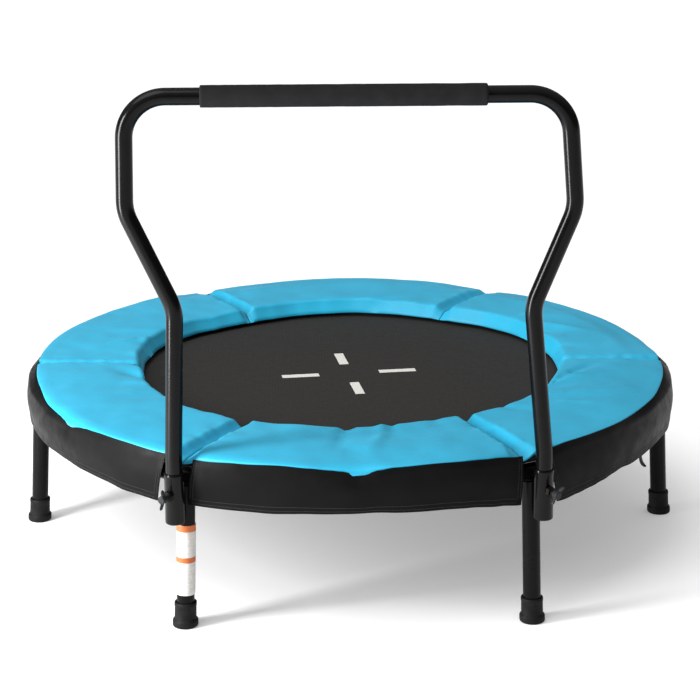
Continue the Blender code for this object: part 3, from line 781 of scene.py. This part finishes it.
def mat_level(spot):
    """The height of the mat's top, which sinks by a hair in the middle."""
    reach = math.hypot(spot.x, spot.y) / MAT_RADIUS
    pull = 0.00025 * wobble((spot.x, spot.y, 0.0), 0.12) * (1 - reach ** 2)
    return MAT_TOP - 0.0004 * (1 - reach ** 2) + pull


MARK_LENGTH, MARK_WIDTH, MARK_REACH = 0.054, 0.0135, 0.0713
MARK_TURN = math.radians(7.7)
MARK_CENTRE = Vector((-0.001, 0.0138, 0.0))


def mat_marks():
    """Four pale dashes in a cross, printed thick on the weave."""
    made = []
    for number in range(4):
        turn = MARK_TURN + number * math.pi / 2
        along, across = radial(turn), radial(turn + math.pi / 2)
        centre = MARK_CENTRE + along * MARK_REACH
        columns, rows, soft = 28, 8, 0.0004
        rings = []
        for column in range(columns + 1):
            share = 2 * column / columns - 1
            ring = []
            for row in range(rows + 1):
                slant = 2 * row / rows - 1
                spot = centre + along * (share * MARK_LENGTH / 2) + across * (slant * MARK_WIDTH / 2)
                rough = 0.0002 * wobble((spot.x, spot.y, 0.0), 0.002)
                edge = max(abs(share), abs(slant))
                spot += across * rough * slant ** 8 + along * rough * share ** 8
                lift = 0.00026 - soft * max(0.0, edge - 0.96) * 3
                ring.append(Vector((spot.x, spot.y, mat_level(spot) + lift)))
            ring += [Vector((point.x, point.y, mat_level(point) + 0.00004)) for point in reversed(ring)]
            rings.append(ring)
        shape = Shape().loft(rings)
        made.append(shape.piece(f"mat_mark_{number + 1}", [MARK], body="mat", slot="mat_fabric", sharp=60.0))
    return made


def binding():
    """Webbing folded round the mat's rim, its stitching, and a wire ring in it for each spring."""
    columns = 144
    fold, width, soft = 0.001, 0.014, 0.0004
    edge = MAT_RADIUS + 0.0003
    outer, inner = edge + fold, edge + fold - width
    low, high = BINDING_BOTTOM, BINDING_TOP
    profile = [(inner, MAT_TOP + 0.0003), (inner, high - soft), (inner + soft, high), (outer - 2 * soft, high)]
    profile += [(outer, high - 2 * soft), (outer, low + 2 * soft), (outer - 2 * soft, low), (inner + soft, low)]
    profile += [(inner, low + soft), (inner, MAT_BOTTOM - 0.0003), (edge, MAT_BOTTOM - 0.0003)]
    profile.append((edge, MAT_TOP + 0.0003))
    rings = []
    for column in range(columns):
        side = radial(TAU * column / columns)
        rings.append([side * reach + Vector((0, 0, level)) for reach, level in profile])
    shape = Shape().loft(rings, closed=True)
    for level, way in ((high, 1), (low, -1)):
        for reach in (inner + 0.003, outer - 0.003):
            line = [radial(TAU * step / 600) * reach + Vector((0, 0, level)) for step in range(600)]
            stitches(shape, line + line[:1], Vector((0, 0, way)), 0.0042, 0.0004, tint=1)
    for number in range(SPRING_COUNT):
        mat_ring(shape, (number + 0.5) * TAU / SPRING_COUNT, outer)
    shape.piece("mat_edge", [WEBBING, BLACK_THREAD, ZINC], body="mat", stands_for=["mat_binding"],
                slot="webbing")


def mat_ring(shape, angle, outer):
    """A bent wire triangle, with its base in the binding and a rounded point outwards."""
    out, across = radial(angle), radial(angle + math.pi / 2)
    base, point, half = outer - 0.0012, SPRING_START - 0.0012, 0.0118
    level = Vector((0, 0, (MAT_TOP + MAT_BOTTOM) / 2))
    corners = [Vector(spot) for spot in ((base, 0.0), (base, half), (point, 0.0), (base, -half), (base, 0.0))]
    path = rounded_path(corners, (0.002, 0.0024, 0.002), math.radians(20.0))
    spots = [out * spot.x + across * spot.y + level for spot in path[:-1]]
    shape.loft(sweep(spots + spots[:1], 0.0012, 10, Vector((0, 0, 1))), tint=2)


def stitches(shape, line, up, length, radius, tint=0, share=0.72):
    """A row of stitches along a line: short thread lengths that dive in at both ends."""
    lengths = [0.0]
    for start, end in zip(line, line[1:]):
        lengths.append(lengths[-1] + (end - start).length)
    count = max(1, int(lengths[-1] / length))
    place = 0

    def spot(distance):
        nonlocal place
        while place < len(line) - 2 and lengths[place + 1] < distance:
            place += 1
        part = (distance - lengths[place]) / max(1e-9, lengths[place + 1] - lengths[place])
        return line[place].lerp(line[place + 1], min(1.0, max(0.0, part)))

    for number in range(count):
        start = lengths[-1] * (number + (1 - share) / 2) / count
        span = lengths[-1] / count * share
        rings = []
        before = None
        for step in range(5):
            part = step / 4
            centre = spot(start + span * part)
            lift = up(centre) if callable(up) else up
            rise = radius * (0.75 - 1.1 * (2 * part - 1) ** 4)
            size = radius * (1 - 0.35 * abs(2 * part - 1) ** 3)
            ahead = spot(start + span * (part + 0.1)) - centre if step < 4 else centre - before
            before = centre
            side = ahead.normalized().cross(lift).normalized()
            rings.append(circle(centre + lift * rise, side, lift, size, 6))
        shape.loft(rings, tint=tint)


def springs():
    """Coil springs, each with a hook at both ends."""
    wire = 0.0012
    coil = 0.0055 - wire
    hook, bend = 0.011, 0.0026
    for number in range(SPRING_COUNT):
        angle = (number + 0.5) * TAU / SPRING_COUNT
        out, across, up = radial(angle), radial(angle + math.pi / 2), Vector((0, 0, 1))
        start, end = SPRING_START + hook, SPRING_END - hook
        turns = round((end - start) / (2.12 * wire))
        path = []
        for way, tip in ((-1, SPRING_START), (1, SPRING_END)):
            bow = []
            for step in range(8, -1, -1):
                turn = math.pi * 1.25 * step / 8
                reach = tip - way * 0.0038 + way * bend * math.cos(turn - math.pi / 2)
                bow.append(out * reach + up * (SPRING_Z - bend + bend * math.cos(turn)))
            bow.append(out * (tip - way * 0.0075) + up * (SPRING_Z + 0.0002))
            bow.append(out * (tip - way * 0.0098) + up * (SPRING_Z + coil * 0.5))
            path.append(bow)
        helix = []
        steps = turns * 12
        for step in range(steps + 1):
            turn = TAU * turns * step / steps
            along = start + (end - start) * step / steps
            spoke = across * (coil * math.sin(turn)) + up * (SPRING_Z + coil * math.cos(turn))
            helix.append(out * along + spoke)
        spots = path[0] + helix + path[1][::-1]
        made = Shape().loft(sweep(spots, wire, 8, across)).piece(
            f"coil_spring_{number + 1:02d}", [ZINC], stands_for=[f"spring_{number + 1:02d}"],
            slot="spring_steel")
        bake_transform(made)


# ---------------------------------------------------------------- padded cover

# Each seam's angle at the cover's inner and outer edge, in degrees past its leg, and its depth and half width
SEAMS = {0: (-1.0, -0.6), 1: (1.0, -2.6), 2: (-0.4, -0.3), 3: (0.6, -0.4), 4: (0.8, 0.3), 5: (-0.8, -2.6)}
SEAM_CUTS = {0: (0.0060, 0.0085), 1: (0.0105, 0.0150), 2: (0.0095, 0.0130), 3: (0.0036, 0.0060),
             4: (0.0105, 0.0140), 5: (0.0095, 0.0130)}
SEAM_GAP = 0.0003
SHOULDER = 0.0080
OUTER_SOFT = 0.0190
CROWN = 0.0010
BACK_LEAN = 0.0095
PAD_MIDDLE = 0.38
LINING_Z = PAD_BOTTOM + 0.0002
OUTER_FOOT, INNER_FOOT = 0.0130, 0.0240

# Folds on the cover: (radius, degrees) at both ends, half width and height, in metres; hollows are negative
FOLDS = [
    ((0.300, 157.0), (0.345, 161.5), 0.0080, 0.0030),
    ((0.338, 161.5), (0.385, 170.0), 0.0070, 0.0020),
    ((0.296, 164.0), (0.322, 162.5), 0.0085, -0.0050),
    ((0.296, 173.5), (0.330, 171.5), 0.0120, 0.0022),
    ((0.294, 183.0), (0.322, 181.5), 0.0070, -0.0040),
    ((0.294, 194.8), (0.338, 187.0), 0.0100, -0.0058),
    ((0.300, 200.5), (0.345, 196.5), 0.0080, 0.0020),
    ((0.310, 204.8), (0.372, 204.6), 0.0060, 0.0016),
    ((0.306, 210.5), (0.350, 209.0), 0.0070, -0.0018),
    ((0.312, 217.0), (0.368, 213.0), 0.0060, 0.0013),
    ((0.310, 150.0), (0.400, 156.0), 0.0100, 0.0016),
    ((0.302, 337.0), (0.324, 347.5), 0.0060, -0.0058),
    ((0.322, 347.0), (0.362, 355.5), 0.0070, -0.0040),
    ((0.308, 341.0), (0.360, 346.8), 0.0065, 0.0034),
    ((0.300, 331.5), (0.345, 339.0), 0.0085, -0.0036),
    ((0.322, 327.0), (0.408, 338.5), 0.0065, 0.0030),
    ((0.330, 324.0), (0.400, 331.5), 0.0070, -0.0022),
    ((0.350, 324.6), (0.428, 328.8), 0.0065, 0.0020),
    ((0.335, 32.5), (0.392, 18.0), 0.0075, 0.0034),
    ((0.310, 28.0), (0.350, 20.0), 0.0110, -0.0042),
    ((0.352, 38.0), (0.432, 29.5), 0.0090, 0.0020),
    ((0.300, 31.0), (0.330, 32.5), 0.0095, -0.0046),
    ((0.300, 12.0), (0.335, 9.0), 0.0080, -0.0026),
    ((0.286, 267.8), (0.352, 266.4), 0.0080, -0.0052),
    ((0.345, 266.5), (0.408, 266.4), 0.0100, -0.0024),
    ((0.290, 276.4), (0.354, 274.8), 0.0070, 0.0024),
    ((0.350, 275.0), (0.425, 271.0), 0.0090, 0.0020),
    ((0.286, 279.6), (0.345, 277.6), 0.0060, -0.0026),
    ((0.400, 269.5), (0.455, 269.9), 0.0110, -0.0022),
    ((0.300, 86.0), (0.336, 74.0), 0.0120, -0.0036),
    ((0.318, 85.0), (0.402, 66.0), 0.0110, 0.0012),
    ((0.300, 66.0), (0.330, 66.0), 0.0120, -0.0020),
    ((0.292, 132.0), (0.322, 133.0), 0.0100, -0.0020),
    ((0.292, 108.0), (0.322, 108.0), 0.0110, -0.0014),
    ((0.296, 228.0), (0.322, 228.0), 0.0110, -0.0014),
    ((0.288, 291.0), (0.345, 289.0), 0.0120, -0.0016),
    ((0.295, 312.0), (0.350, 315.0), 0.0090, -0.0018),
]

# The cover's inner radius, by angle in degrees
INNER_EDGE = [(0, 0.3015), (15, 0.3050), (34, 0.3110), (45, 0.3085), (55, 0.3030), (65, 0.3040),
              (78, 0.3080), (86, 0.3105), (95, 0.3060), (103, 0.3040), (112, 0.2985), (122, 0.2965),
              (131, 0.2980), (139, 0.3035), (153, 0.3070), (167, 0.3030), (180, 0.2985), (187, 0.2965),
              (199, 0.3010), (210, 0.3020), (221, 0.3065), (230, 0.3025), (239, 0.3070), (246, 0.2990),
              (255, 0.2955), (264, 0.2985), (273, 0.2975), (279, 0.2930), (289, 0.2895), (295, 0.2915),
              (300, 0.2980), (305, 0.2945), (314, 0.2960), (325, 0.2970), (337, 0.2965), (346, 0.2970),
              (360, 0.3015)]

# How far the outer rim slumps, by angle in degrees, from 0 to 1
SLUMP = [(0, 0.35), (10, 0.9), (28, 1.0), (52, 0.85), (62, 1.0), (76, 0.35), (98, 0.35), (108, 0.9),
         (124, 0.85), (130, 0.15), (180, 0.0), (345, 0.0), (360, 0.35)]

# The height of the line where the skirt is sewn to the cover, and its radius, by angle in degrees
SEAM_HEIGHT = [(0, 0.2408), (25, 0.2395), (53, 0.2388), (59, 0.2335), (65, 0.2384), (90, 0.2380),
               (115, 0.2384), (120.5, 0.2335), (126, 0.2386), (160, 0.2395), (180, 0.2408), (196, 0.2385),
               (205, 0.2360), (209, 0.2350), (211, 0.2331), (213, 0.2309), (215, 0.2326), (217, 0.2352),
               (219, 0.2372), (223, 0.2386), (228, 0.2384), (236, 0.2362), (244, 0.2348), (250, 0.2376),
               (257, 0.2398), (262, 0.2380), (265, 0.2364), (267, 0.2350), (268.8, 0.2322), (270, 0.2306),
               (271.2, 0.2326), (273, 0.2362), (275.5, 0.2390), (282, 0.2408), (288, 0.2398),
               (292, 0.2386), (297, 0.2350), (303, 0.2384), (307, 0.2408), (326, 0.2408), (360, 0.2408)]
SEAM_RADIUS = [(0, 0.4512), (22, 0.4552), (60, 0.4585), (120, 0.4585), (158, 0.4552), (180, 0.4500),
               (194, 0.4500), (205, 0.4560), (215, 0.4585), (300, 0.4585), (318, 0.4575), (334, 0.4535),
               (345, 0.4500), (360, 0.4512)]


def rim(degrees):
    """The radius and height of the line where the skirt is sewn on."""
    slump = between(SLUMP, degrees)
    return between(SEAM_RADIUS, degrees) - 0.0065 * slump, between(SEAM_HEIGHT, degrees) - 0.0050 * slump


def seam_angle(leg, reach):
    """A seam's angle in radians at this radius."""
    inside, outside = SEAMS[leg % LEG_COUNT]
    part = (reach - PAD_INNER) / (PAD_OUTER - PAD_INNER)
    return leg * LEG_STEP + math.radians(inside + (outside - inside) * part)


def prepare_folds():
    """Each fold's start and run on the floor plan, with its half width and height."""
    made = []
    for (near, near_angle), (far, far_angle), width, height in FOLDS:
        start, end = radial(math.radians(near_angle)) * near, radial(math.radians(far_angle)) * far
        made.append((start.x, start.y, end.x - start.x, end.y - start.y, width, height))
    return made


FOLD_LINES = prepare_folds()
FOLD_REACH = 0.09


def fold_height(x, y):
    """The sum of all folds at a point. Each fades along its length from its middle."""
    total = 0.0
    for start_x, start_y, run_x, run_y, width, height in FOLD_LINES:
        from_x, from_y = x - start_x, y - start_y
        if abs(from_x - run_x / 2) > FOLD_REACH or abs(from_y - run_y / 2) > FOLD_REACH:
            continue
        part = (from_x * run_x + from_y * run_y) / (run_x ** 2 + run_y ** 2)
        held = min(1.0, max(0.0, part))
        away = math.hypot(from_x - run_x * held, from_y - run_y * held)
        spread = width * (0.7 + 0.8 * held)
        total += height * math.exp(-((away / spread) ** 2)) * (1 - 0.75 * smooth(0.35, 1.0, held))
    return total


def pad_profile(angle):
    """The cover's section at this angle, outer foot first.

    Each point is its radius, its height, its share of the top's shaping, and 1 where it is black: the cover's
    own black underside, carried up the outer wall under the skirt and round the inner foot as painted shade.
    """
    degrees = math.degrees(angle) % 360.0
    outer, sewn = rim(degrees)
    inner = between(INNER_EDGE, degrees)
    lean = BACK_LEAN * smooth(-0.35, 0.35, math.sin(angle))
    slump = between(SLUMP, degrees)
    top = PAD_TOP
    # Black from the foot up the outer wall to just under the sewn line: partly the underside's own colour,
    # partly painted shade where the wall shows through the skirt's slits.
    points = [(outer - OUTER_FOOT, LINING_Z, 0.0, 1), (outer - 0.0080, PAD_BOTTOM + 0.0030, 0.0, 1)]
    points += [(outer - 0.0030, PAD_BOTTOM + 0.0072, 0.0, 1), (outer - 0.0012, PAD_BOTTOM + 0.0085, 0.0, 1)]
    points += [(outer - 0.0008, sewn - 0.006, 0.1, 1), (outer - 0.0004, sewn - 0.003, 0.3, 1)]
    points.append((outer, sewn, 0.5, 0))
    shoulder = top - 0.0032 * slump
    drop = shoulder - sewn
    for step in range(1, 11):
        turn = math.pi / 2 * step / 10
        share = 0.5 + 0.05 * step
        points.append((outer - OUTER_SOFT * (1 - math.cos(turn)), sewn + drop * math.sin(turn), share, 0))
    start, end = outer - OUTER_SOFT, inner + lean + SHOULDER
    columns = 34
    for step in range(1, columns):
        part = step / columns
        rise = CROWN * math.sin(math.pi * part) ** 0.8 + (top - shoulder) * smooth(0.0, 0.28, part)
        points.append((start + (end - start) * part, shoulder + rise, 1.0, 0))
    for step in range(8):
        turn = math.pi / 2 * step / 7 * (1 - 0.25 * lean / BACK_LEAN)
        share = 1.0 - 0.3 * step / 7
        points.append((end - SHOULDER * math.sin(turn), top - SHOULDER * (1 - math.cos(turn)), share, 0))
    reach, level = points[-1][0], points[-1][1]
    foot = PAD_BOTTOM + 0.0052
    for part in (0.35, 0.7, 1.0):
        points.append((reach + (inner - reach) * part, level + (foot - level) * part, 0.7 - 0.5 * part, 0))
    # Black round the inner foot and under the cover: partly the underside's own colour, partly a painted shade
    # band under the inner edge, on the mat.
    points += [(inner + 0.0010, foot - 0.0014, 0.1, 1), (inner + 0.0040, foot - 0.0030, 0.05, 1)]
    points += [(inner + 0.0120, foot - 0.0042, 0.0, 1), (inner + INNER_FOOT, LINING_Z, 0.0, 1)]
    for step in range(1, 8):
        run = outer - OUTER_FOOT - inner - INNER_FOOT
        points.append((inner + INNER_FOOT + run * step / 8, LINING_Z, 0.0, 1))
    return points


def cover_point(reach, level, share, angle, distance, seam, inner):
    """A point of the cover, shaped by its seams, folds and slack.

    Distance is along the arc to the nearer seam, and seam is that seam's leg.
    """
    x, y = reach * math.cos(angle), reach * math.sin(angle)
    body = max(0.0, (level - PAD_BOTTOM) / (PAD_TOP - PAD_BOTTOM))
    depth, width = SEAM_CUTS[seam % LEG_COUNT]
    edge = smooth(PAD_OUTER - 0.035, PAD_OUTER, reach)
    near = max(0.0, 1 - distance / (width * (1 + 0.6 * edge)))
    sink = depth * (1 + 0.25 * edge) * near ** 1.35 * (2 - near)
    along, seed = (reach, 0.0, 0.0), 11.0 * seam
    pucker = 0.0010 * bell(distance, width * 0.8, width * 0.6) * wobble(along, 0.013, seed)
    pucker += 0.0006 * bell(distance, width * 1.6, width) * wobble(along, 0.024, seed + 3.1)
    slack = 0.0009 * wobble((x, y, 0.0), 0.085) + 0.00035 * wobble((x, y, 0.0), 0.03, 2.0)
    fold = fold_height(x, y)
    lift = share * (fold + slack + pucker) - sink * body ** 1.2
    level = max(PAD_BOTTOM + 0.0001, level + lift)
    inner_share = smooth(inner + 0.026, inner, reach) * body
    outer_share = smooth(PAD_OUTER - 0.012, PAD_OUTER, reach) * body
    pull = 0.0008 * wobble((x, y, 0.0), 0.034, 5.0) + 0.0030 * near ** 2 - 0.35 * min(0.0, fold)
    reach += inner_share * pull - outer_share * 0.0012 * near
    return radial(angle) * reach + Vector((0, 0, level))


def gathered(part):
    """Evenly spaced parts from 0 to 1, set closer together at both ends."""
    if part in (0.0, 1.0):
        return part
    return 0.5 - 0.5 * math.copysign(abs(1 - 2 * part) ** 0.7, 1 - 2 * part)


def pads():
    """Six padded segments, each swollen between its two sewn ends, with a black lining underneath and on the
    end faces. The black also runs up the outer wall under the skirt and round the inner foot as painted shade.
    """
    columns = 96
    for index in range(LEG_COUNT):
        rings = []
        low, high = seam_angle(index, PAD_MIDDLE), seam_angle(index + 1, PAD_MIDDLE)
        for column in range(columns + 1):
            part = gathered(column / columns)
            middle = low + (high - low) * part
            inner = between(INNER_EDGE, math.degrees(middle) % 360.0)
            section = pad_profile(middle)
            ring = []
            for reach, level, share, lining_and_shade in section:
                first = seam_angle(index, reach) + SEAM_GAP / reach
                last = seam_angle(index + 1, reach) - SEAM_GAP / reach
                angle = first + (last - first) * part
                nearest = min(part, 1 - part) * (last - first) * reach
                seam = index if part < 0.5 else index + 1
                ring.append(cover_point(reach, level, share, angle, nearest, seam, inner))
            rings.append(ring)
        shape = Shape().loft(rings)
        # Faces between two black points, and the end faces, take the black: painted shade under the inner edge
        # and in the slits, as well as the lining's own colour.
        lining_and_shade_flags = [lining_and_shade for reach, level, share, lining_and_shade in section]
        count = len(lining_and_shade_flags)
        sides = [lining_and_shade_flags[number] & lining_and_shade_flags[(number + 1) % count] for number in range(count)]
        ends = [1] * (len(shape.faces) - columns * count)
        shape.tints = sides * columns + ends
        pad = shape.piece(f"pad_cover_{index + 1}", [BLUE, BLACK], body="frame",
                          stands_for=[f"pad_{index + 1}"], slot="pad_vinyl", sharp=80.0)


# ---------------------------------------------------------------- skirt

# Each flap's two edges as degrees at the top and at the hem
FLAPS = {
    1: ((0.35, 0.45), (59.7, 59.5)), 2: ((60.3, 60.5), (119.7, 119.5)), 3: ((120.3, 120.5), (179.7, 179.5)),
    4: ((180.3, 180.5), (237.2, 235.2)), 5: ((242.3, 241.3), (297.3, 297.0)),
    6: ((301.6, 304.2), (359.65, 359.55)),
}
HEM_HEIGHT = [(0, 0.1700), (60, 0.1685), (120, 0.1685), (180, 0.1720), (200, 0.1786), (208, 0.1788),
              (212, 0.1781), (217, 0.1760), (223, 0.1748), (229, 0.1714), (237, 0.1681), (242, 0.1730),
              (247, 0.1730), (254, 0.1742), (262, 0.1771), (268, 0.1781), (272, 0.1788), (277, 0.1775),
              (283, 0.1775), (288, 0.1764), (293, 0.1727), (297, 0.1690), (303.5, 0.1626),
              (305.5, 0.1624), (309, 0.1648), (312, 0.1674), (315, 0.1708), (318, 0.1742),
              (320.5, 0.1758), (324, 0.1740), (328, 0.1752), (333, 0.1772), (345, 0.1736), (360, 0.1700)]
SKIRT_THICKNESS = 0.0011
FLAP_ROWS = 22
FLAP_COLUMNS = 100
LIP_END = 0.112
NOISE_RADIUS = 0.46
THREAD_RADIUS, STITCH_LENGTH = 0.00026, 0.0036


# Creases of the skirt: its angle at the top and its slant, its width and how that grows, all in degrees,
# then its height, which is negative for a hollow, and the middle and length of its run down the skirt
SKIRT_CREASES = [(270.0, -3, 1.6, 3.5, -0.0028, 0.05, 0.22), (264.0, -4, 3.5, 0.0, 0.0014, 0.25, 0.25),
                 (213.5, -9, 2.0, 0.0, -0.0024, 0.12, 0.35), (206.5, -9, 2.2, 0.0, 0.0022, 0.35, 0.4),
                 (249.0, 6, 3.5, 0.0, 0.0010, 0.25, 0.3)]


def skirt_section(angle, share):
    """The radius and height of a flap's outer face at this angle in degrees.

    Share runs from 0 at the sewn top to 1 at the hem.
    """
    sewn, top = rim(angle)
    hem = between(HEM_HEIGHT, angle)
    front = smooth(0.3, -0.3, math.sin(math.radians(angle)))
    sides = max(bell(gap(angle, -6.0), 0.0, 24.0), bell(gap(angle, 186.0), 0.0, 24.0)) * (0.35 + 0.65 * front)
    lip = 0.0006 * front + 0.0014 * sides
    level = top - 0.0006 + lip * math.sin(math.pi * min(1.0, share * 9)) * (share < LIP_END)
    level += (hem - top) * share ** 1.06
    on_leg = bell(gap(angle, round(angle / 60.0) * 60.0), 0.0, 5.0)
    around = math.radians(angle) * NOISE_RADIUS
    bulge = 0.0022 + 0.0016 * sides + 0.0008 * wobble((around, 0.0, 0.0), 0.12, 4.0)
    hung = SKIRT_OUTER - 0.0006 + 0.0009 * on_leg
    out = sewn + 0.0007 + (hung - sewn - 0.0007) * smooth(0.0, 0.16 + 0.1 * (1 - front), share)
    out += bulge * math.sin(math.pi * smooth(0.0, 1.06, share) ** 0.9)
    place = (around, level, 0.0)
    ripple = 0.0008 * wobble(place, 0.075, 1.0) + 0.0002 * wobble(place, 0.024, 7.0)
    drape = 0.0013 * wobble((around, 0.0, 0.0), 0.07, 9.0) * share ** 1.5
    crease = 0.0
    for start, slant, width, widening, height, middle, length in SKIRT_CREASES:
        across = bell(gap(angle, start + slant * share), 0.0, width + widening * share)
        crease += height * across * bell(share, middle, length)
    return out + (ripple + drape) * smooth(0.0, 0.2, share) * (1 - 0.6 * on_leg) + crease, level


def flap_angle(index, part, share):
    """The angle in degrees of a point of a flap, which may have slanting edges."""
    (start_top, start_hem), (end_top, end_hem) = FLAPS[index]
    start = start_top + (start_hem - start_top) * share
    end = end_top + (end_hem - end_top) * share
    return start + (end - start) * part


def flap_point(index, part, share, inset=0.0):
    angle = flap_angle(index, part, share)
    reach, level = skirt_section(angle, share)
    return radial(math.radians(angle)) * (reach - inset) + Vector((0, 0, level))


def skirt():
    """Six black flaps with a turned-up hem, each edge sewn down twice."""
    for index in FLAPS:
        outside, inside = [], []
        for row in range(FLAP_ROWS + 1):
            share = (row / FLAP_ROWS) ** 1.25
            hem = smooth(0.83, 0.86, share)
            groove = 0.0003 * bell(share, 0.85, 0.012)
            thick = SKIRT_THICKNESS * (0.85 + 0.35 * hem)
            parts = [column / FLAP_COLUMNS for column in range(FLAP_COLUMNS + 1)]
            outside.append([flap_point(index, part, share, groove) for part in parts])
            inside.append([flap_point(index, part, share, thick) for part in parts])
        rings = []
        for column in range(FLAP_COLUMNS + 1):
            rings.append([row[column] for row in outside] + [row[column] for row in reversed(inside)])
        shape = Shape().loft(rings)
        flap = shape.piece(f"skirt_flap_{index}", [BLACK], body="frame", stands_for=["skirt"],
                           slot="skirt_vinyl", sharp=70.0)
        pieces = [flap_stitches(index)] + ([strap()] if index == len(FLAPS) else [])
        low, high = flap_angle(index, 0, 0.5), flap_angle(index, 1, 0.5)


def outwards(spot):
    """The level direction from the vertical axis to a point."""
    return Vector((spot.x, spot.y, 0.0)).normalized()


def flap_stitches(index):
    """Double rows of thread along the hem and both short edges."""
    shape = Shape()
    for share in (0.865, 0.945):
        line = [flap_point(index, 0.012 + 0.976 * step / 160, share) for step in range(161)]
        stitches(shape, line, outwards, STITCH_LENGTH, THREAD_RADIUS)
    for edge, inward in ((0.0, 1), (1.0, -1)):
        for inset in (0.0065, 0.0145):
            part = edge + inward * inset
            line = [flap_point(index, part, 0.05 + 0.80 * step / 40) for step in range(41)]
            stitches(shape, line, outwards, STITCH_LENGTH, THREAD_RADIUS)
    return shape.piece(f"flap_stitching_{index}", [BLACK_THREAD], body="frame", slot="skirt_vinyl")


STRAP_HALF, STRAP_TIP, STRAP_THICKNESS = 0.0046, 0.0026, 0.0006
STRAP_EDGE = ((-1, 0.6), (-0.85, 1), (0.85, 1), (1, 0.6), (1, -0.6), (0.85, -1), (-0.85, -1), (-1, -0.6))


# The strap's route: radius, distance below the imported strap's top, and drift sideways
STRAP_ROUTE = [(0.4545, -0.0040, 0.0), (0.4548, 0.0040, 0.0005), (0.4552, 0.0090, 0.0018),
               (0.4562, 0.0135, 0.0038), (0.4580, 0.0172, 0.0062), (0.4604, 0.0198, 0.0088)]


def strap():
    """The loose end of a tie-down strap, curling out from under the hem."""
    low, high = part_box("pad_strap")
    angle = math.atan2((low.y + high.y) / 2, (low.x + high.x) / 2)
    out, across = radial(angle), radial(angle + math.pi / 2)
    rings = []
    for place, (reach, drop, drift) in enumerate(STRAP_ROUTE):
        half = STRAP_HALF if place < len(STRAP_ROUTE) - 1 else STRAP_TIP
        centre = out * reach + across * drift + Vector((0, 0, high.z - drop))
        rings.append([centre + across * half * wide + out * STRAP_THICKNESS * thick
                      for wide, thick in STRAP_EDGE])
    made = Shape().loft(rings).piece("cover_strap", [WEBBING], body="frame", stands_for=["pad_strap"],
                                     slot="webbing")
    soften = made.modifiers.new("soften", "SUBSURF")
    soften.levels = soften.render_levels = 2
    return made


# ---------------------------------------------------------------- stage, light and camera

CAMERA_LENS = 122.28
CAMERA_PLACE, CAMERA_TARGET = (-0.0946, -3.2878, 1.2591), (0.0, 0.0, 0.2551)
CAMERA_ROLL = math.radians(-0.12)
SUN_HEADING, SUN_HEIGHT = math.radians(208.0), math.radians(62.0)
SUN_ANGLE, SUN_ENERGY = math.radians(46.0), 1.65


def camera():
    """The camera that the photo was solved to."""
    data = bpy.data.cameras.new("camera")
    data.sensor_width = 36.0
    data.lens = CAMERA_LENS
    data.clip_end = 100.0
    made = bpy.data.objects.new("camera", data)
    bpy.context.scene.collection.objects.link(made)
    place, target = Vector(CAMERA_PLACE), Vector(CAMERA_TARGET)
    look = (target - place).to_track_quat("-Z", "Y").to_matrix().to_4x4()
    made.matrix_world = Matrix.Translation(place) @ look @ Matrix.Rotation(CAMERA_ROLL, 4, "Z")
    bpy.context.scene.camera = made


def softbox(name, place, target, width, height, power):
    """A rectangular light that faces a target and isn't seen itself."""
    data = bpy.data.lights.new(name, "AREA")
    data.shape = "RECTANGLE"
    data.size, data.size_y = width, height
    data.energy = power
    made = bpy.data.objects.new(name, data)
    bpy.context.scene.collection.objects.link(made)
    made.location = place
    made.rotation_euler = (Vector(target) - Vector(place)).to_track_quat("-Z", "Y").to_euler()
    made.visible_camera = False


def studio():
    """A plain pale floor, a sky brighter overhead, a broad soft sun and a tall softbox at the left."""
    finish = Finish("pale_floor", (0.84, 0.84, 0.84), 0.8, Specular_IOR_Level=0.1)
    finish.tint(finish.noise(2.5), 0.995, 1.005)
    finish.shader.inputs["Emission Color"].default_value = (1.0, 1.0, 1.0, 1.0)
    finish.shader.inputs["Emission Strength"].default_value = 0.27
    half = 30.0
    corners = [(-half, -half, 0), (half, -half, 0), (half, half, 0), (-half, half, 0)]
    floor = piece("floor", corners, [(0, 1, 2, 3)], [finish.material])
    world = bpy.data.worlds.new("sky")
    world.use_nodes = True
    nodes, links = world.node_tree.nodes, world.node_tree.links
    direction = nodes.new("ShaderNodeTexCoord").outputs["Generated"]
    parts = nodes.new("ShaderNodeSeparateXYZ")
    ramp = nodes.new("ShaderNodeMapRange")
    for socket, number in (("From Min", 0.25), ("From Max", 1.0), ("To Min", 0.08), ("To Max", 0.78)):
        ramp.inputs[socket].default_value = number
    links.new(direction, parts.inputs["Vector"])
    links.new(parts.outputs["Z"], ramp.inputs["Value"])
    links.new(ramp.outputs["Result"], nodes["Background"].inputs["Strength"])
    nodes["Background"].inputs["Color"].default_value = (1.0, 1.0, 1.0, 1.0)
    bpy.context.scene.world = world
    data = bpy.data.lights.new("broad", "SUN")
    data.energy = SUN_ENERGY
    data.angle = SUN_ANGLE
    broad = bpy.data.objects.new("broad", data)
    bpy.context.scene.collection.objects.link(broad)
    towards = radial(SUN_HEADING) * math.cos(SUN_HEIGHT) + Vector((0, 0, math.sin(SUN_HEIGHT)))
    broad.rotation_euler = towards.to_track_quat("Z", "Y").to_euler()
    softbox("tall", (-1.55, -0.95, 0.60), (0.0, -0.30, 0.35), 0.42, 1.15, 60.0)
    bpy.context.scene.view_settings.view_transform = "Standard"
    bpy.context.scene.view_settings.look = "None"


camera()
studio()
rails()
legs()
leg_wrap()
sockets()
handle()
binding()
mat()
springs()
pads()
skirt()
